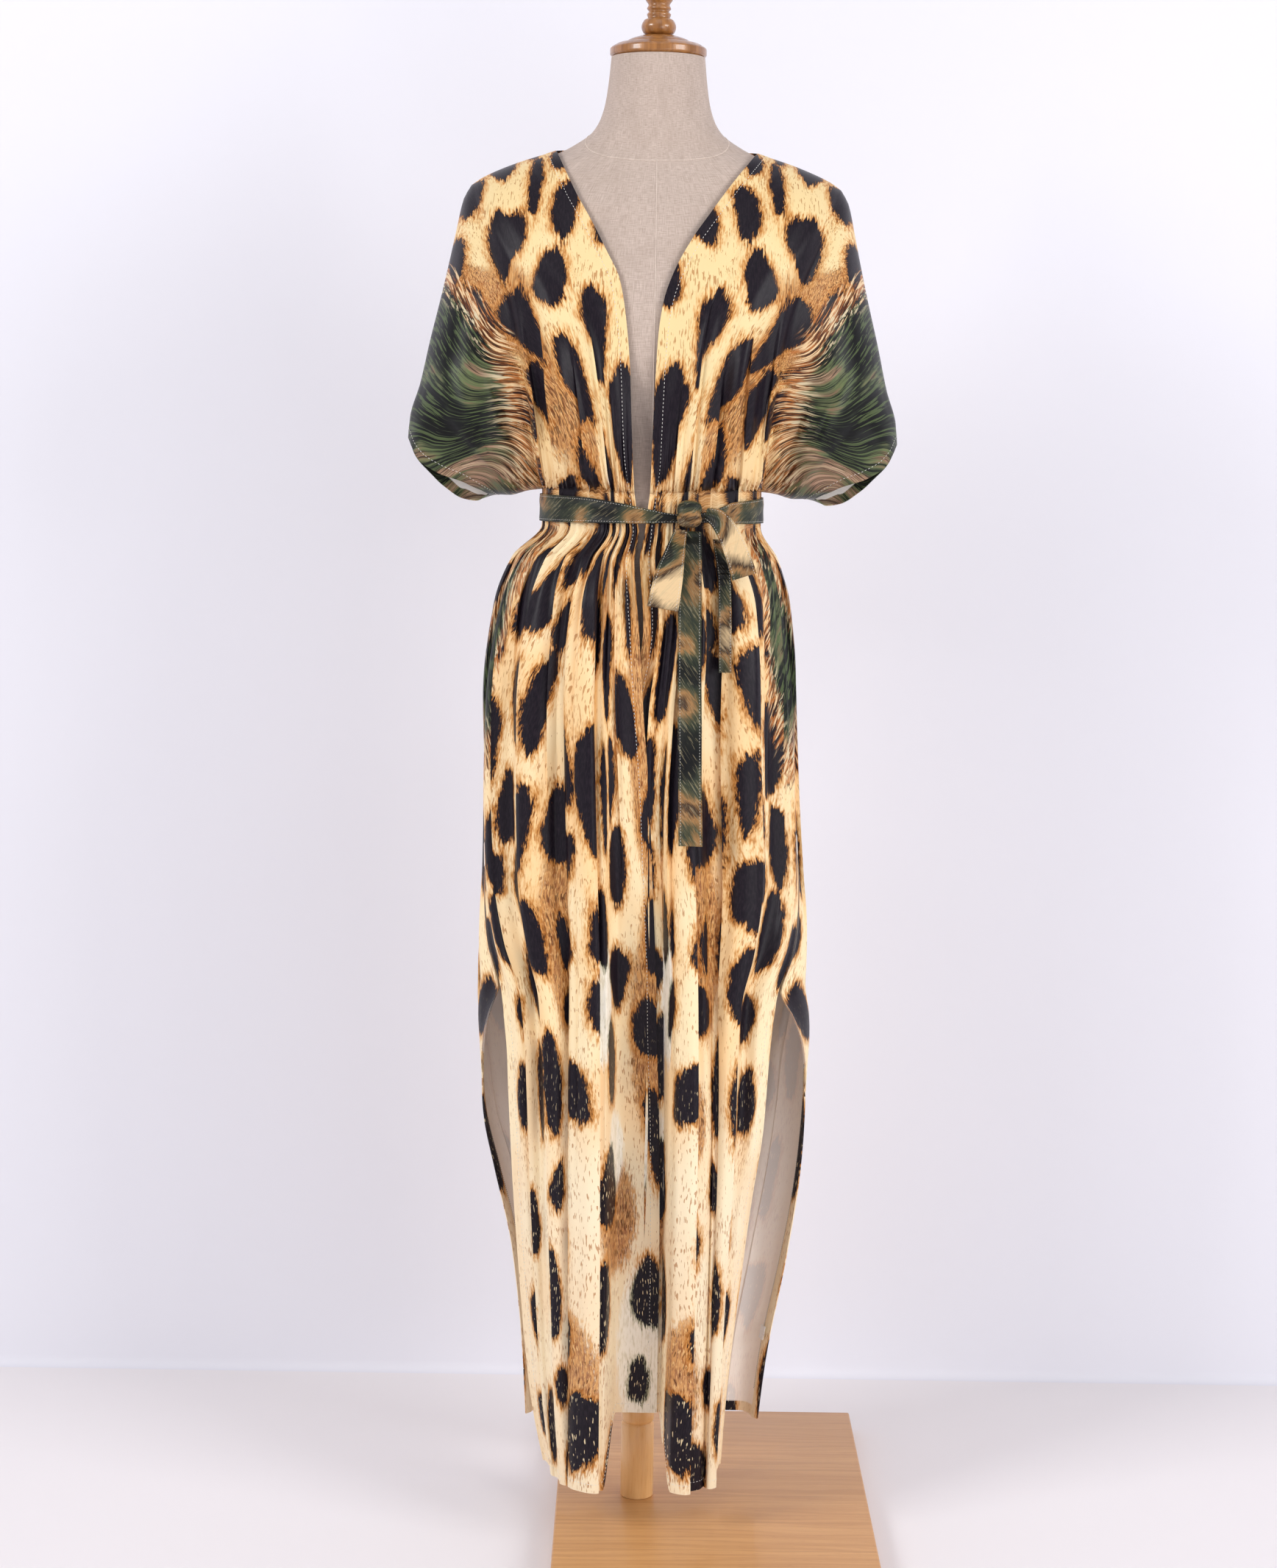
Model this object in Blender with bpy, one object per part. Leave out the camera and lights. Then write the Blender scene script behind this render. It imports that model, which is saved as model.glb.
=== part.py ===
"""Ankle-length kimono coat with batwing sleeves, side slits and a bow belt, worn by a limbless
linen dress form on a turned pole and a wooden board.

Metres. +Z is up, the front faces -Y and +X is the wearer's left. The origin is on the floor,
on the pole's axis. Run with: blender --background --python part.py
"""
import math
from collections import namedtuple

import bpy
from mathutils import Vector

# cloth
CLOTH = 0.0018           # wall of the coat
RIBBON = 0.0016          # wall of the belt's loops and tails
BELT_WALL = 0.0024
SEAM = 0.0003            # gap between two pieces that are sewn together
CLEAR = 0.0008           # gap between a piece and what it lies on
TAIL_CLEAR = 0.0004

# grid of the coat's pieces
BODY_COLUMNS = 26        # from a front edge to the side seam
SLEEVE_COLUMNS = 7       # from the side seam's top out to the cuff
BACK_COLUMNS = 17        # from the middle of the back to one side seam
UPPER_ROWS = 11          # shoulder seam to belt
SKIRT_ROWS = 15          # belt to hem

# heights of the coat
BELT_TOP = 1.119         # where the coat is pinched above and below the belt
BELT_LOW = 1.084
HEM_FRONT = 0.072
HEM_BACK = 0.086
PLEAT_ANGLE = 25.0       # outer edge of each front's first pleat, degrees from the middle
PLEAT_PART = 0.5         # share of a front's columns from its front edge to that pleat
TUCK_DEPTH = 0.042       # how far the left front's side turns in behind its pleat at the hem
RECESS_DEPTH = 0.050     # how deep the two fronts fold in between their pleats
RECESS_LIFT = 0.070      # how much higher the hem is in there

# the wooden stand
BOARD_LEFT, BOARD_RIGHT = -0.088, 0.2535
BOARD_HALF_DEPTH = 0.273
BOARD_TOP = 0.022
POLE_RADIUS = 0.018
PLATE_HEIGHT = 0.760     # flat underside of the torso
NECK_TOP = 1.566

# colour, roughness and metallic value of each material
FINISHES = {
    "printed_satin": ((0.62, 0.42, 0.20, 1.0), 0.42, 0.0),
    "belt_satin": ((0.16, 0.17, 0.11, 1.0), 0.42, 0.0),
    "label_satin": ((0.88, 0.88, 0.86, 1.0), 0.55, 0.0),
    "linen": ((0.62, 0.57, 0.51, 1.0), 0.85, 0.0),
    "varnished_wood": ((0.66, 0.47, 0.29, 1.0), 0.35, 0.0),
}

# half outline of the upper coat seen from the front: distance from the middle, height
Point = namedtuple("Point", "across height")
SHOULDER_SEAM = [Point(0.1045, 1.4700), Point(0.1450, 1.4570), Point(0.1800, 1.4420),
                 Point(0.1920, 1.4340)]
SLEEVE_TOP = [Point(0.1920, 1.4340), Point(0.2000, 1.4200), Point(0.2070, 1.3900),
              Point(0.2140, 1.3580), Point(0.2240, 1.3150), Point(0.2340, 1.2750),
              Point(0.2445, 1.2290), Point(0.2550, 1.1940), Point(0.2565, 1.1730)]
UNDERARM = [Point(0.1155, 1.1210), Point(0.1300, 1.1190), Point(0.1500, 1.1140),
            Point(0.1710, 1.1150)]
CUFF_FRONT = [Point(0.2565, 1.1730), Point(0.2440, 1.1500), Point(0.2220, 1.1360),
              Point(0.1990, 1.1280), Point(0.1830, 1.1200), Point(0.1710, 1.1150)]
CUFF_BACK = [Point(0.2565, 1.1730), Point(0.2540, 1.1560), Point(0.2400, 1.1380),
             Point(0.2220, 1.1210), Point(0.2000, 1.1080), Point(0.1860, 1.1060),
             Point(0.1710, 1.1150)]
# front edges from the neck down to the belt, signed across
EDGE_RIGHT = [Point(-0.1045, 1.4700), Point(-0.0810, 1.4210), Point(-0.0650, 1.3930),
              Point(-0.0490, 1.3620), Point(-0.0360, 1.3350), Point(-0.0290, 1.2970),
              Point(-0.0240, 1.2440), Point(-0.0210, 1.1730), Point(-0.0180, 1.1190)]
EDGE_LEFT = [Point(0.1045, 1.4700), Point(0.0770, 1.4340), Point(0.0570, 1.4060),
             Point(0.0360, 1.3750), Point(0.0190, 1.3430), Point(0.0090, 1.3140),
             Point(0.0040, 1.2800), Point(0.0020, 1.2450), Point(0.0000, 1.1920),
             Point(-0.0020, 1.1190)]
SHOULDER_SPARE = 0.0025  # extra room over the curve of the shoulders, off the seam
NECK_DEPTH = 0.066       # how far behind the shoulder seam the back neck edge runs
NECK_RISE = 0.010        # how much higher it is there

# depth of the upper coat's air: columns 0 front edge or middle, 1 side seam, 2 cuff
Puff = namedtuple("Puff", "column front back")
PUFFS = [Puff(0.0, 0.030, 0.020), Puff(0.5, 0.050, 0.046), Puff(1.0, 0.084, 0.084),
         Puff(1.5, 0.074, 0.076), Puff(2.0, 0.040, 0.044)]

# plan of the skirt at each height
Section = namedtuple("Section", "height half_width centre front back")
SECTIONS = [Section(0.060, 0.168, 0.002, 0.124, 0.116), Section(0.250, 0.172, 0.002, 0.126, 0.120),
            Section(0.450, 0.175, 0.001, 0.128, 0.123), Section(0.600, 0.171, -0.001, 0.129, 0.125),
            Section(0.740, 0.167, -0.006, 0.130, 0.128), Section(0.830, 0.1655, -0.009, 0.130, 0.130),
            Section(0.900, 0.164, -0.010, 0.129, 0.129), Section(1.000, 0.154, -0.008, 0.121, 0.117),
            Section(1.050, 0.140, -0.006, 0.111, 0.104), Section(1.084, 0.1155, 0.0, 0.094, 0.088),
            Section(1.121, 0.1155, 0.0, 0.094, 0.088)]

# how far round the plan each edge lies, in degrees from the middle
Edges = namedtuple("Edges", "height right_front left_front right_side left_side back_right back_left")
EDGES = [Edges(0.060, 6.0, -9.0, -36.0, 31.0, -49.0, 51.0),
         Edges(0.160, 6.0, -9.0, -47.0, 33.0, -51.0, 56.0),
         Edges(0.280, 6.0, -8.5, -56.0, 38.5, -57.0, 68.0),
         Edges(0.380, 5.8, -8.0, -62.0, 46.0, -70.0, 80.0),
         Edges(0.450, 5.5, -7.5, -72.0, 53.0, -84.0, 88.0),
         Edges(0.550, 4.5, -7.0, -89.0, 72.0, -90.0, 90.0),
         Edges(0.600, 4.5, -6.5, -90.0, 90.0, -90.0, 90.0),
         Edges(0.800, 3.6, -5.0, -90.0, 90.0, -90.0, 90.0),
         Edges(0.900, 1.5, -3.0, -90.0, 90.0, -90.0, 90.0),
         Edges(0.980, -1.0, 0.6, -90.0, 90.0, -90.0, 90.0),
         Edges(1.084, -6.5, -3.2, -90.0, 90.0, -90.0, 90.0),
         Edges(1.119, -8.97, -0.993, -90.0, 90.0, -90.0, 90.0)]

# folds of the skirt: where across the piece (0 front edge or middle of the back, 1 side seam),
# half width, depth outwards, and the height at which the fold is full
Fold = namedtuple("Fold", "piece part half_width depth full")
FOLDS = [Fold("front_right", 0.38, 0.10, 0.006, 0.80), Fold("front_right", 0.53, 0.08, -0.011, 0.85),
         Fold("front_right", 0.64, 0.09, 0.007, 0.90), Fold("front_right", 0.76, 0.08, -0.011, 0.85),
         Fold("front_right", 0.87, 0.09, 0.006, 0.90),
         Fold("front_left", 0.38, 0.10, 0.006, 0.80), Fold("front_left", 0.53, 0.08, -0.012, 0.85),
         Fold("front_left", 0.64, 0.09, 0.008, 0.90), Fold("front_left", 0.77, 0.08, -0.010, 0.80),
         Fold("front_left", 0.88, 0.09, 0.005, 0.90),
         Fold("back", -0.86, 0.13, 0.007, 0.80), Fold("back", -0.66, 0.13, -0.009, 0.90),
         Fold("back", -0.45, 0.13, 0.010, 0.80), Fold("back", -0.22, 0.13, -0.011, 0.85),
         Fold("back", 0.00, 0.13, 0.010, 0.80), Fold("back", 0.21, 0.13, -0.010, 0.90),
         Fold("back", 0.42, 0.13, 0.011, 0.82), Fold("back", 0.64, 0.13, -0.010, 0.85),
         Fold("back", 0.85, 0.13, 0.007, 0.80)]

# folds of the upper coat: column at the shoulder and at the belt, half width in columns,
# depth outwards, and how far down from the shoulder the fold is deepest
Crease = namedtuple("Crease", "piece column_top column_low half_width depth middle")
CREASES = [Crease("front_right", 0.50, 0.55, 0.13, -0.007, 0.78),
           Crease("front_right", 0.66, 0.66, 0.12, 0.006, 0.75),
           Crease("front_right", 0.84, 0.77, 0.12, -0.008, 0.74),
           Crease("front_right", 1.04, 0.90, 0.14, 0.007, 0.70),
           Crease("front_right", 1.30, 1.22, 0.20, -0.009, 0.62),
           Crease("front_right", 1.64, 1.58, 0.20, 0.008, 0.55),
           Crease("front_left", 0.50, 0.53, 0.13, -0.008, 0.78),
           Crease("front_left", 0.66, 0.66, 0.12, 0.007, 0.74),
           Crease("front_left", 0.82, 0.78, 0.12, -0.008, 0.76),
           Crease("front_left", 1.02, 0.90, 0.14, 0.007, 0.70),
           Crease("front_left", 1.28, 1.20, 0.20, -0.007, 0.60),
           Crease("front_left", 1.60, 1.55, 0.20, 0.009, 0.58),
           Crease("back", 0.26, 0.22, 0.18, -0.006, 0.75),
           Crease("back", 0.50, 0.44, 0.18, 0.006, 0.75),
           Crease("back", 0.78, 0.66, 0.18, -0.006, 0.74),
           Crease("back", 1.06, 0.88, 0.18, 0.005, 0.70),
           Crease("back", 1.34, 1.26, 0.22, -0.008, 0.60),
           Crease("back", 1.66, 1.60, 0.20, 0.007, 0.55)]

# the dress form at each height
# pinch 1 is an oval plan, more is narrower towards the shoulders
Body = namedtuple("Body", "height half_width front back pinch")
TORSO = [Body(0.760, 0.138, 0.091, 0.098, 1.0), Body(0.768, 0.141, 0.094, 0.101, 1.0),
         Body(0.820, 0.143, 0.098, 0.106, 1.0), Body(0.880, 0.144, 0.102, 0.109, 1.0),
         Body(0.950, 0.138, 0.100, 0.105, 1.0), Body(1.030, 0.120, 0.092, 0.091, 1.0),
         Body(1.100, 0.107, 0.086, 0.079, 1.0), Body(1.150, 0.112, 0.091, 0.081, 1.0),
         Body(1.210, 0.127, 0.103, 0.088, 1.0), Body(1.270, 0.142, 0.113, 0.092, 1.0),
         Body(1.330, 0.152, 0.105, 0.094, 1.0), Body(1.380, 0.163, 0.091, 0.091, 1.0),
         Body(1.410, 0.174, 0.080, 0.079, 1.0), Body(1.427, 0.1805, 0.071, 0.071, 1.25),
         Body(1.4382, 0.1790, 0.065, 0.063, 1.45), Body(1.4544, 0.1440, 0.056, 0.056, 1.6),
         Body(1.4670, 0.1040, 0.051, 0.052, 1.6), Body(1.476, 0.0860, 0.049, 0.051, 1.3),
         Body(1.489, 0.0675, 0.048, 0.053, 1.0), Body(1.503, 0.0590, 0.047, 0.051, 1.0),
         Body(1.520, 0.0540, 0.047, 0.050, 1.0), Body(1.545, 0.0505, 0.048, 0.050, 1.0),
         Body(NECK_TOP, 0.0485, 0.048, 0.049, 1.0)]
TORSO_SEGMENTS = 32

# turned pieces: radius at each height
Turn = namedtuple("Turn", "radius height")
CAP_PROFILE = [Turn(0.0470, 1.5663), Turn(0.0500, 1.5690), Turn(0.0500, 1.5740), Turn(0.0470, 1.5770),
               Turn(0.0400, 1.5800), Turn(0.0380, 1.5790), Turn(0.0300, 1.5840), Turn(0.0200, 1.5875)]
FINIAL_PROFILE = [Turn(0.0100, 1.5878), Turn(0.0160, 1.5910), Turn(0.0180, 1.5970), Turn(0.0155, 1.6035),
                  Turn(0.0115, 1.6065), Turn(0.0125, 1.6095), Turn(0.0105, 1.6125), Turn(0.0125, 1.6155),
                  Turn(0.0110, 1.6190), Turn(0.0140, 1.6245), Turn(0.0120, 1.6285), Turn(0.0165, 1.6350),
                  Turn(0.0195, 1.6440), Turn(0.0180, 1.6540), Turn(0.0120, 1.6620), Turn(0.0050, 1.6655)]
POLE_PROFILE = [Turn(POLE_RADIUS, BOARD_TOP + SEAM), Turn(POLE_RADIUS, 0.104), Turn(0.0160, 0.106),
                Turn(POLE_RADIUS, 0.108), Turn(POLE_RADIUS, 0.122), Turn(0.0160, 0.124),
                Turn(POLE_RADIUS, 0.126), Turn(POLE_RADIUS, PLATE_HEIGHT - SEAM)]

# the bow: middle line of each loop seen from the front, its half width there and its opening
Loop = namedtuple("Loop", "across height half_width opening")
SMALL_LOOP = [Loop(0.0300, 1.0832, 0.0060, 0.0022), Loop(0.0240, 1.0620, 0.0100, 0.0050),
              Loop(0.0175, 1.0350, 0.0145, 0.0065), Loop(0.0125, 1.0060, 0.0160, 0.0060)]
BIG_LOOP = [Loop(0.0553, 1.1000, 0.0060, 0.0024), Loop(0.0670, 1.0950, 0.0095, 0.0050),
            Loop(0.0800, 1.0770, 0.0115, 0.0070), Loop(0.0890, 1.0560, 0.0125, 0.0070),
            Loop(0.0950, 1.0380, 0.0130, 0.0060)]
LOOP_POINTS = 20
LOOP_LIFT = 0.0135       # from the skirt to the middle of a loop
KNOT_REACH = 0.1045      # how far forward the loops leave the knot
# tails: middle, height and half width
Tail = namedtuple("Tail", "across height half_width")
LONG_TAIL = [Tail(0.0400, 1.0820, 0.0110), Tail(0.0400, 1.0000, 0.0118), Tail(0.0415, 0.9000, 0.0120),
             Tail(0.0445, 0.7630, 0.0120)]
SHORT_TAIL = [Tail(0.0690, 1.0740, 0.0060), Tail(0.0755, 1.0300, 0.0064), Tail(0.0775, 0.9390, 0.0064)]
TAIL_ROWS = 14

KNOT_CENTRE = (0.0385, 1.0995)
KNOT_HALF = Vector((0.0135, 0.0100, 0.0140))

# belt: degrees round the waist, heights of its lower and upper edge
Band = namedtuple("Band", "angle low top")
BELT = [Band(-180.0, 1.0870, 1.1165), Band(-75.0, 1.0880, 1.1160), Band(-40.0, 1.0882, 1.1150),
        Band(-18.0, 1.0888, 1.1100), Band(0.0, 1.0895, 1.1030), Band(14.0, 1.0905, 1.0985),
        Band(30.0, 1.0905, 1.1010), Band(46.0, 1.0890, 1.1110), Band(90.0, 1.0885, 1.1150),
        Band(180.0, 1.0870, 1.1165)]
BELT_SEGMENTS = 48

LABEL_PART = 0.93        # where across the back it is, 1 being the slit's edge
LABEL_HEIGHTS = (0.178, 0.194)
LABEL_HALF_PART = 0.038
LABEL_WALL = 0.0009
LABEL_GAP = 0.0013       # the wall bends, so its nearest point is about 0.4 mm away


def slopes(keys, values):
    """Slopes of a smooth curve that never swings past its points."""
    steps = [(values[i + 1] - values[i]) / (keys[i + 1] - keys[i]) for i in range(len(keys) - 1)]
    inner = [0.0 if a * b <= 0 else 2 * a * b / (a + b) for a, b in zip(steps, steps[1:])]
    return [steps[0]] + inner + [steps[-1]]


def smooth(keys, values, at):
    """Value of that curve at one place, level past both ends."""
    if at <= keys[0]:
        return values[0]
    if at >= keys[-1]:
        return values[-1]
    i = max(k for k in range(len(keys) - 1) if keys[k] <= at)
    span = keys[i + 1] - keys[i]
    f = (at - keys[i]) / span
    slope = slopes(keys, values)
    return (values[i] * (2 * f ** 3 - 3 * f ** 2 + 1) + slope[i] * span * (f ** 3 - 2 * f ** 2 + f)
            + values[i + 1] * (3 * f ** 2 - 2 * f ** 3) + slope[i + 1] * span * (f ** 3 - f ** 2))


def row_at(table, at):
    """Row of a table whose first column is the key, read between its rows."""
    keys = [row[0] for row in table]
    values = [smooth(keys, [row[c] for row in table], at) for c in range(1, len(table[0]))]
    return type(table[0])(at, *values)


def along(points, fraction):
    """Point of an outline at a fraction of its length."""
    lengths = [0.0]
    for a, b in zip(points, points[1:]):
        lengths.append(lengths[-1] + math.dist(a[:2], b[:2]))
    at = fraction * lengths[-1]
    return type(points[0])(*(smooth(lengths, [p[c] for p in points], at) for c in range(len(points[0]))))


def ease(f):
    f = min(1.0, max(0.0, f))
    return f * f * (3 - 2 * f)


def bump(distance, half_width):
    """1 on the crest of a fold, 0 past its half width."""
    f = abs(distance) / half_width
    return math.cos(f * math.pi / 2) ** 2 if f < 1 else 0.0


def form_depth(across, height, front):
    """How far in front of or behind the middle plane the dress form reaches."""
    row = row_at(TORSO, height)
    inside = 1 - (across / row.half_width) ** 2
    return (row.front if front else row.back) * inside ** (row.pinch / 2) if inside > 0 else 0.0


def larger(a, b, blend=0.006):
    """The larger of two depths, with a soft change between them."""
    return (a + b + math.sqrt((a - b) ** 2 + blend ** 2)) / 2


def recess(angle, height):
    """How far the fronts fold in between their two middle pleats, 0 to 1."""
    walls = ease((angle + 15.0) / 9.0) * ease((14.5 - angle) / 8.0)
    return walls * ease((0.95 - height) / 0.50)


def side_tuck(piece, part, height):
    """How far the side of a front turns in where its slit edge hangs close to the pleat."""
    spare = (66.0 - abs(side_angle(piece, height))) / 36.0
    return TUCK_DEPTH * ease(spare) * ease((part - 0.52) / 0.48)


def edge_angle(name, height):
    keys = [row.height for row in EDGES]
    return smooth(keys, [getattr(row, name) for row in EDGES], height)


def fold_depth(piece, part, height):
    total = 0.0
    for fold in FOLDS:
        if fold.piece == piece:
            rise = ease((BELT_LOW - height) / (BELT_LOW - fold.full))
            total += fold.depth * rise * bump(part - fold.part, fold.half_width)
    room = 1.0
    if piece != "back" and part > PLEAT_PART:
        room = ease((abs(side_angle(piece, height)) - PLEAT_ANGLE) / 50.0) * 0.8 + 0.2
    return total * room * ease((1.0 - abs(part)) / 0.10)


def skirt_point(piece, part, height):
    """Outer point of the skirt: part 0 is the front edge or middle of the back, 1 the side."""
    plan = row_at(SECTIONS, height)
    angle = column_angle(piece, part, height)
    turn = math.radians(angle)
    front = piece != "back"
    deep = plan.front if front else plan.back
    way = -1 if front else 1
    point = Vector((plan.centre + plan.half_width * math.sin(turn), way * deep * math.cos(turn), height))
    out = Vector((deep * math.sin(turn), way * plan.half_width * math.cos(turn), 0)).normalized()
    push = fold_depth(piece, part, height)
    if front:
        point.y += RECESS_DEPTH * recess(angle, height) + side_tuck(piece, part, height)
        under = ease((1.00 - height) / 0.05)
        if piece == "front_right":
            push += 0.0035 * under * ease((angle + 17.0) / 8.0)
        else:
            push -= 0.0035 * under * ease((15.0 - angle) / 8.0)
    return point + out * push


def side_angle(piece, height):
    return edge_angle({"front_right": "right_side", "front_left": "left_side"}[piece], height)


def front_edge_angle(piece, height):
    return edge_angle({"front_right": "right_front", "front_left": "left_front"}[piece], height)


def column_angle(piece, part, height):
    """How far round the plan a column lies. Inside the first pleat the columns keep their
    place, and outside it they spread out to the side."""
    if piece == "back":
        return abs(part) * edge_angle("back_left" if part > 0 else "back_right", height)
    start = front_edge_angle(piece, height)
    side = side_angle(piece, height)
    pleat = math.copysign(min(PLEAT_ANGLE, abs(side) - 6.0), side)
    if part < PLEAT_PART:
        return start + (pleat - start) * part / PLEAT_PART
    return pleat + (side - pleat) * (part - PLEAT_PART) / (1 - PLEAT_PART)


def hem_height(piece, part):
    angle = column_angle(piece, part, HEM_FRONT)
    if piece == "back":
        return HEM_BACK + 0.008 * math.cos(math.radians(2 * angle))
    return HEM_FRONT + RECESS_LIFT * recess(angle, HEM_FRONT) + 0.010 * ease((part - 0.75) / 0.25)


def crease_depth(piece, column, fall):
    total = 0.0
    for crease in CREASES:
        if crease.piece == piece:
            middle = crease.column_top + (crease.column_low - crease.column_top) * fall
            total += crease.depth * bump(column - middle, crease.half_width) * bump(fall - crease.middle, 0.5)
    return total


def upper_outline(piece, side, column, fall):
    """Place of an upper point seen from the front, between the four edges of its patch."""
    def top(u):
        return along(SHOULDER_SEAM, u) if u <= 1 else along(SLEEVE_TOP, u - 1)

    def low(u):
        if u > 1:
            return along(UNDERARM, u - 1)
        place = skirt_point(piece, side * u if piece == "back" else u, BELT_TOP)
        return Point(side * place.x, BELT_TOP + (UNDERARM[0].height - BELT_TOP) * u)

    def inner(f):
        if piece == "back":
            return Point(0.0, 1.4700 + (BELT_TOP - 1.4700) * f)
        edge = along(EDGE_RIGHT if side < 0 else EDGE_LEFT, f)
        return Point(side * edge.across, edge.height)

    def outer(f):
        return along(CUFF_BACK if piece == "back" else CUFF_FRONT, f)

    def neck_top(u):
        if piece == "back" and u <= 1:
            whole = (0.1045 + 0.098) * u
            if whole < 0.1045:
                return Point(whole, 1.4700)
            return along(SHOULDER_SEAM, (whole - 0.1045) / 0.098)
        return top(u)

    s = column / 2
    value = []
    for c in range(2):
        ruled = (1 - fall) * neck_top(column)[c] + fall * low(column)[c]
        crossed = (1 - s) * inner(fall)[c] + s * outer(fall)[c]
        corners = ((1 - s) * ((1 - fall) * inner(0)[c] + fall * inner(1)[c])
                   + s * ((1 - fall) * outer(0)[c] + fall * outer(1)[c]))
        value.append(ruled + crossed - corners)
    return Point(*value)


def upper_point(piece, side, column, fall):
    """Outer point of the upper coat. column 0 is the front edge or the middle of the back,
    1 the side seam and 2 the cuff; fall is 0 at the shoulder seam and 1 at the belt."""
    front = piece != "back"
    way = -1 if front else 1
    place = upper_outline(piece, side, column, fall)
    keys = [row.column for row in PUFFS]
    puff = smooth(keys, [row.front if front else row.back for row in PUFFS], column)
    belt = 0.0
    if column < 1:
        belt = abs(skirt_point(piece, side * column if piece == "back" else column, BELT_TOP).y)
    neck = 0.0
    height = place.height
    if not front and place.across < SHOULDER_SEAM[0].across:
        neck = NECK_DEPTH * (1 - (place.across / SHOULDER_SEAM[0].across) ** 2)
        height += NECK_RISE * (neck / NECK_DEPTH) * (1 - ease(fall / 0.2))
    neck *= 1 - fall
    depth = neck + (belt - neck * (belt > 0)) * math.sqrt(1 - (1 - fall) ** 2)
    if neck == 0:
        depth += puff * math.sqrt(4 * fall * (1 - fall))
    else:
        depth += puff * math.sin(math.pi * fall)
    depth += crease_depth(piece, column, fall) * ease(min(fall, 1 - fall) / 0.22)
    sewn = fall == 0 and (front or place.across >= SHOULDER_SEAM[0].across - 1e-5)
    if not sewn and fall < 1:
        need = form_depth(place.across, place.height, front)
        if need > 0:
            spare = CLEAR + (SHOULDER_SPARE if place.height > 1.38 else 0.0)
            depth = larger(depth, need + CLOTH + spare, 0.004)
    return Vector((side * place.across, way * (depth + SEAM / 2), height))


def cloth_wall(name, points, faces, flat, thickness, finish, out, grow=False):
    """A closed wall: the given outer faces, the same faces moved inwards, and rims round every
    free edge. Points in flat keep their wall in the seam's plane. With grow the given faces are
    the inner ones and the wall lies outside them."""
    normals = [Vector((0, 0, 0)) for _ in points]
    for face in faces:
        a, b, c, d = (points[i] for i in face)
        normal = (c - a).cross(d - b)
        for i in face:
            normals[i] += normal
    total = sum((n.dot(out(p)) for n, p in zip(normals, points)), 0.0)
    if total < 0:
        faces = [tuple(reversed(face)) for face in faces]
        normals = [-n for n in normals]
    for i in flat:
        normals[i].y = 0
    inner = [p - n.normalized() * thickness for p, n in zip(points, normals)]
    if grow:
        inner, points = points, [p + n.normalized() * thickness for p, n in zip(points, normals)]
    count = len(points)
    halves = []
    for a, b, c, d in faces:
        if (points[a] - points[c]).length <= (points[b] - points[d]).length:
            halves += [(a, b, c), (a, c, d)]
        else:
            halves += [(a, b, d), (b, c, d)]
    all_faces = halves + [tuple(count + i for i in reversed(half)) for half in halves]
    sides = {}
    for face in faces:
        for a, b in zip(face, face[1:] + face[:1]):
            sides[(a, b)] = sides.get((a, b), 0) + 1
    for a, b in sides:
        if (b, a) not in sides:
            all_faces.append((b, a, count + a, count + b))
    return solid(name, points + inner, all_faces, finish)


def solid(name, points, faces, finish, smooth_angle=40.0):
    """One named object with its own material."""
    mesh = bpy.data.meshes.new(name)
    mesh.from_pydata([tuple(p) for p in points], [], faces)
    mesh.validate()
    mesh.shade_smooth()
    mesh.set_sharp_from_angle(angle=math.radians(smooth_angle))
    colour, roughness, metallic = FINISHES[finish]
    look = bpy.data.materials.new(name + "_" + finish)
    look.use_nodes = True
    shader = look.node_tree.nodes["Principled BSDF"]
    shader.inputs["Base Color"].default_value = colour
    shader.inputs["Roughness"].default_value = roughness
    shader.inputs["Metallic"].default_value = metallic
    look.diffuse_color = colour
    mesh.materials.append(look)
    thing = bpy.data.objects.new(name, mesh)
    bpy.context.scene.collection.objects.link(thing)
    return thing


def fall_of(row):
    """Rows of the upper coat, closer together at the shoulder seam and at the belt."""
    return (1 - math.cos(math.pi * row / UPPER_ROWS)) / 2


def skirt_height(piece, part, row):
    hem = hem_height(piece, part)
    if row == 0:
        return BELT_LOW
    return BELT_LOW + (hem - BELT_LOW) * (row / SKIRT_ROWS) ** 1.25


def make_front(name, side):
    points, faces, flat, place = [], [], set(), {}

    def add(row, column, point, in_seam):
        place[(row, column)] = len(points)
        if in_seam:
            flat.add(len(points))
        points.append(point)

    last = BODY_COLUMNS + SLEEVE_COLUMNS
    for row in range(UPPER_ROWS + 1):
        fall = fall_of(row)
        for column in range(last + 1):
            u = body_part(column) if column <= BODY_COLUMNS else 1 + (column - BODY_COLUMNS) / SLEEVE_COLUMNS
            in_seam = row == 0 or (row == UPPER_ROWS and column >= BODY_COLUMNS)
            add(row, column, upper_point(name, side, u, fall), in_seam)
    for row in range(SKIRT_ROWS + 1):
        for column in range(BODY_COLUMNS + 1):
            part = body_part(column)
            height = skirt_height(name, part, row)
            point = skirt_point(name, part, height)
            sewn = column == BODY_COLUMNS and abs(side_angle(name, height)) > 89.9
            if sewn:
                point.y = -SEAM / 2
            add(UPPER_ROWS + 1 + row, column, point, sewn)
    for row, column in place:
        corners = [(row, column), (row + 1, column), (row + 1, column + 1), (row, column + 1)]
        if all(corner in place for corner in corners):
            faces.append(tuple(place[corner] for corner in corners))
    return cloth_wall(name, points, faces, flat, CLOTH, "printed_satin", lambda p: Vector((0, -1, 0)))


def body_part(column):
    return column / BODY_COLUMNS


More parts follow.
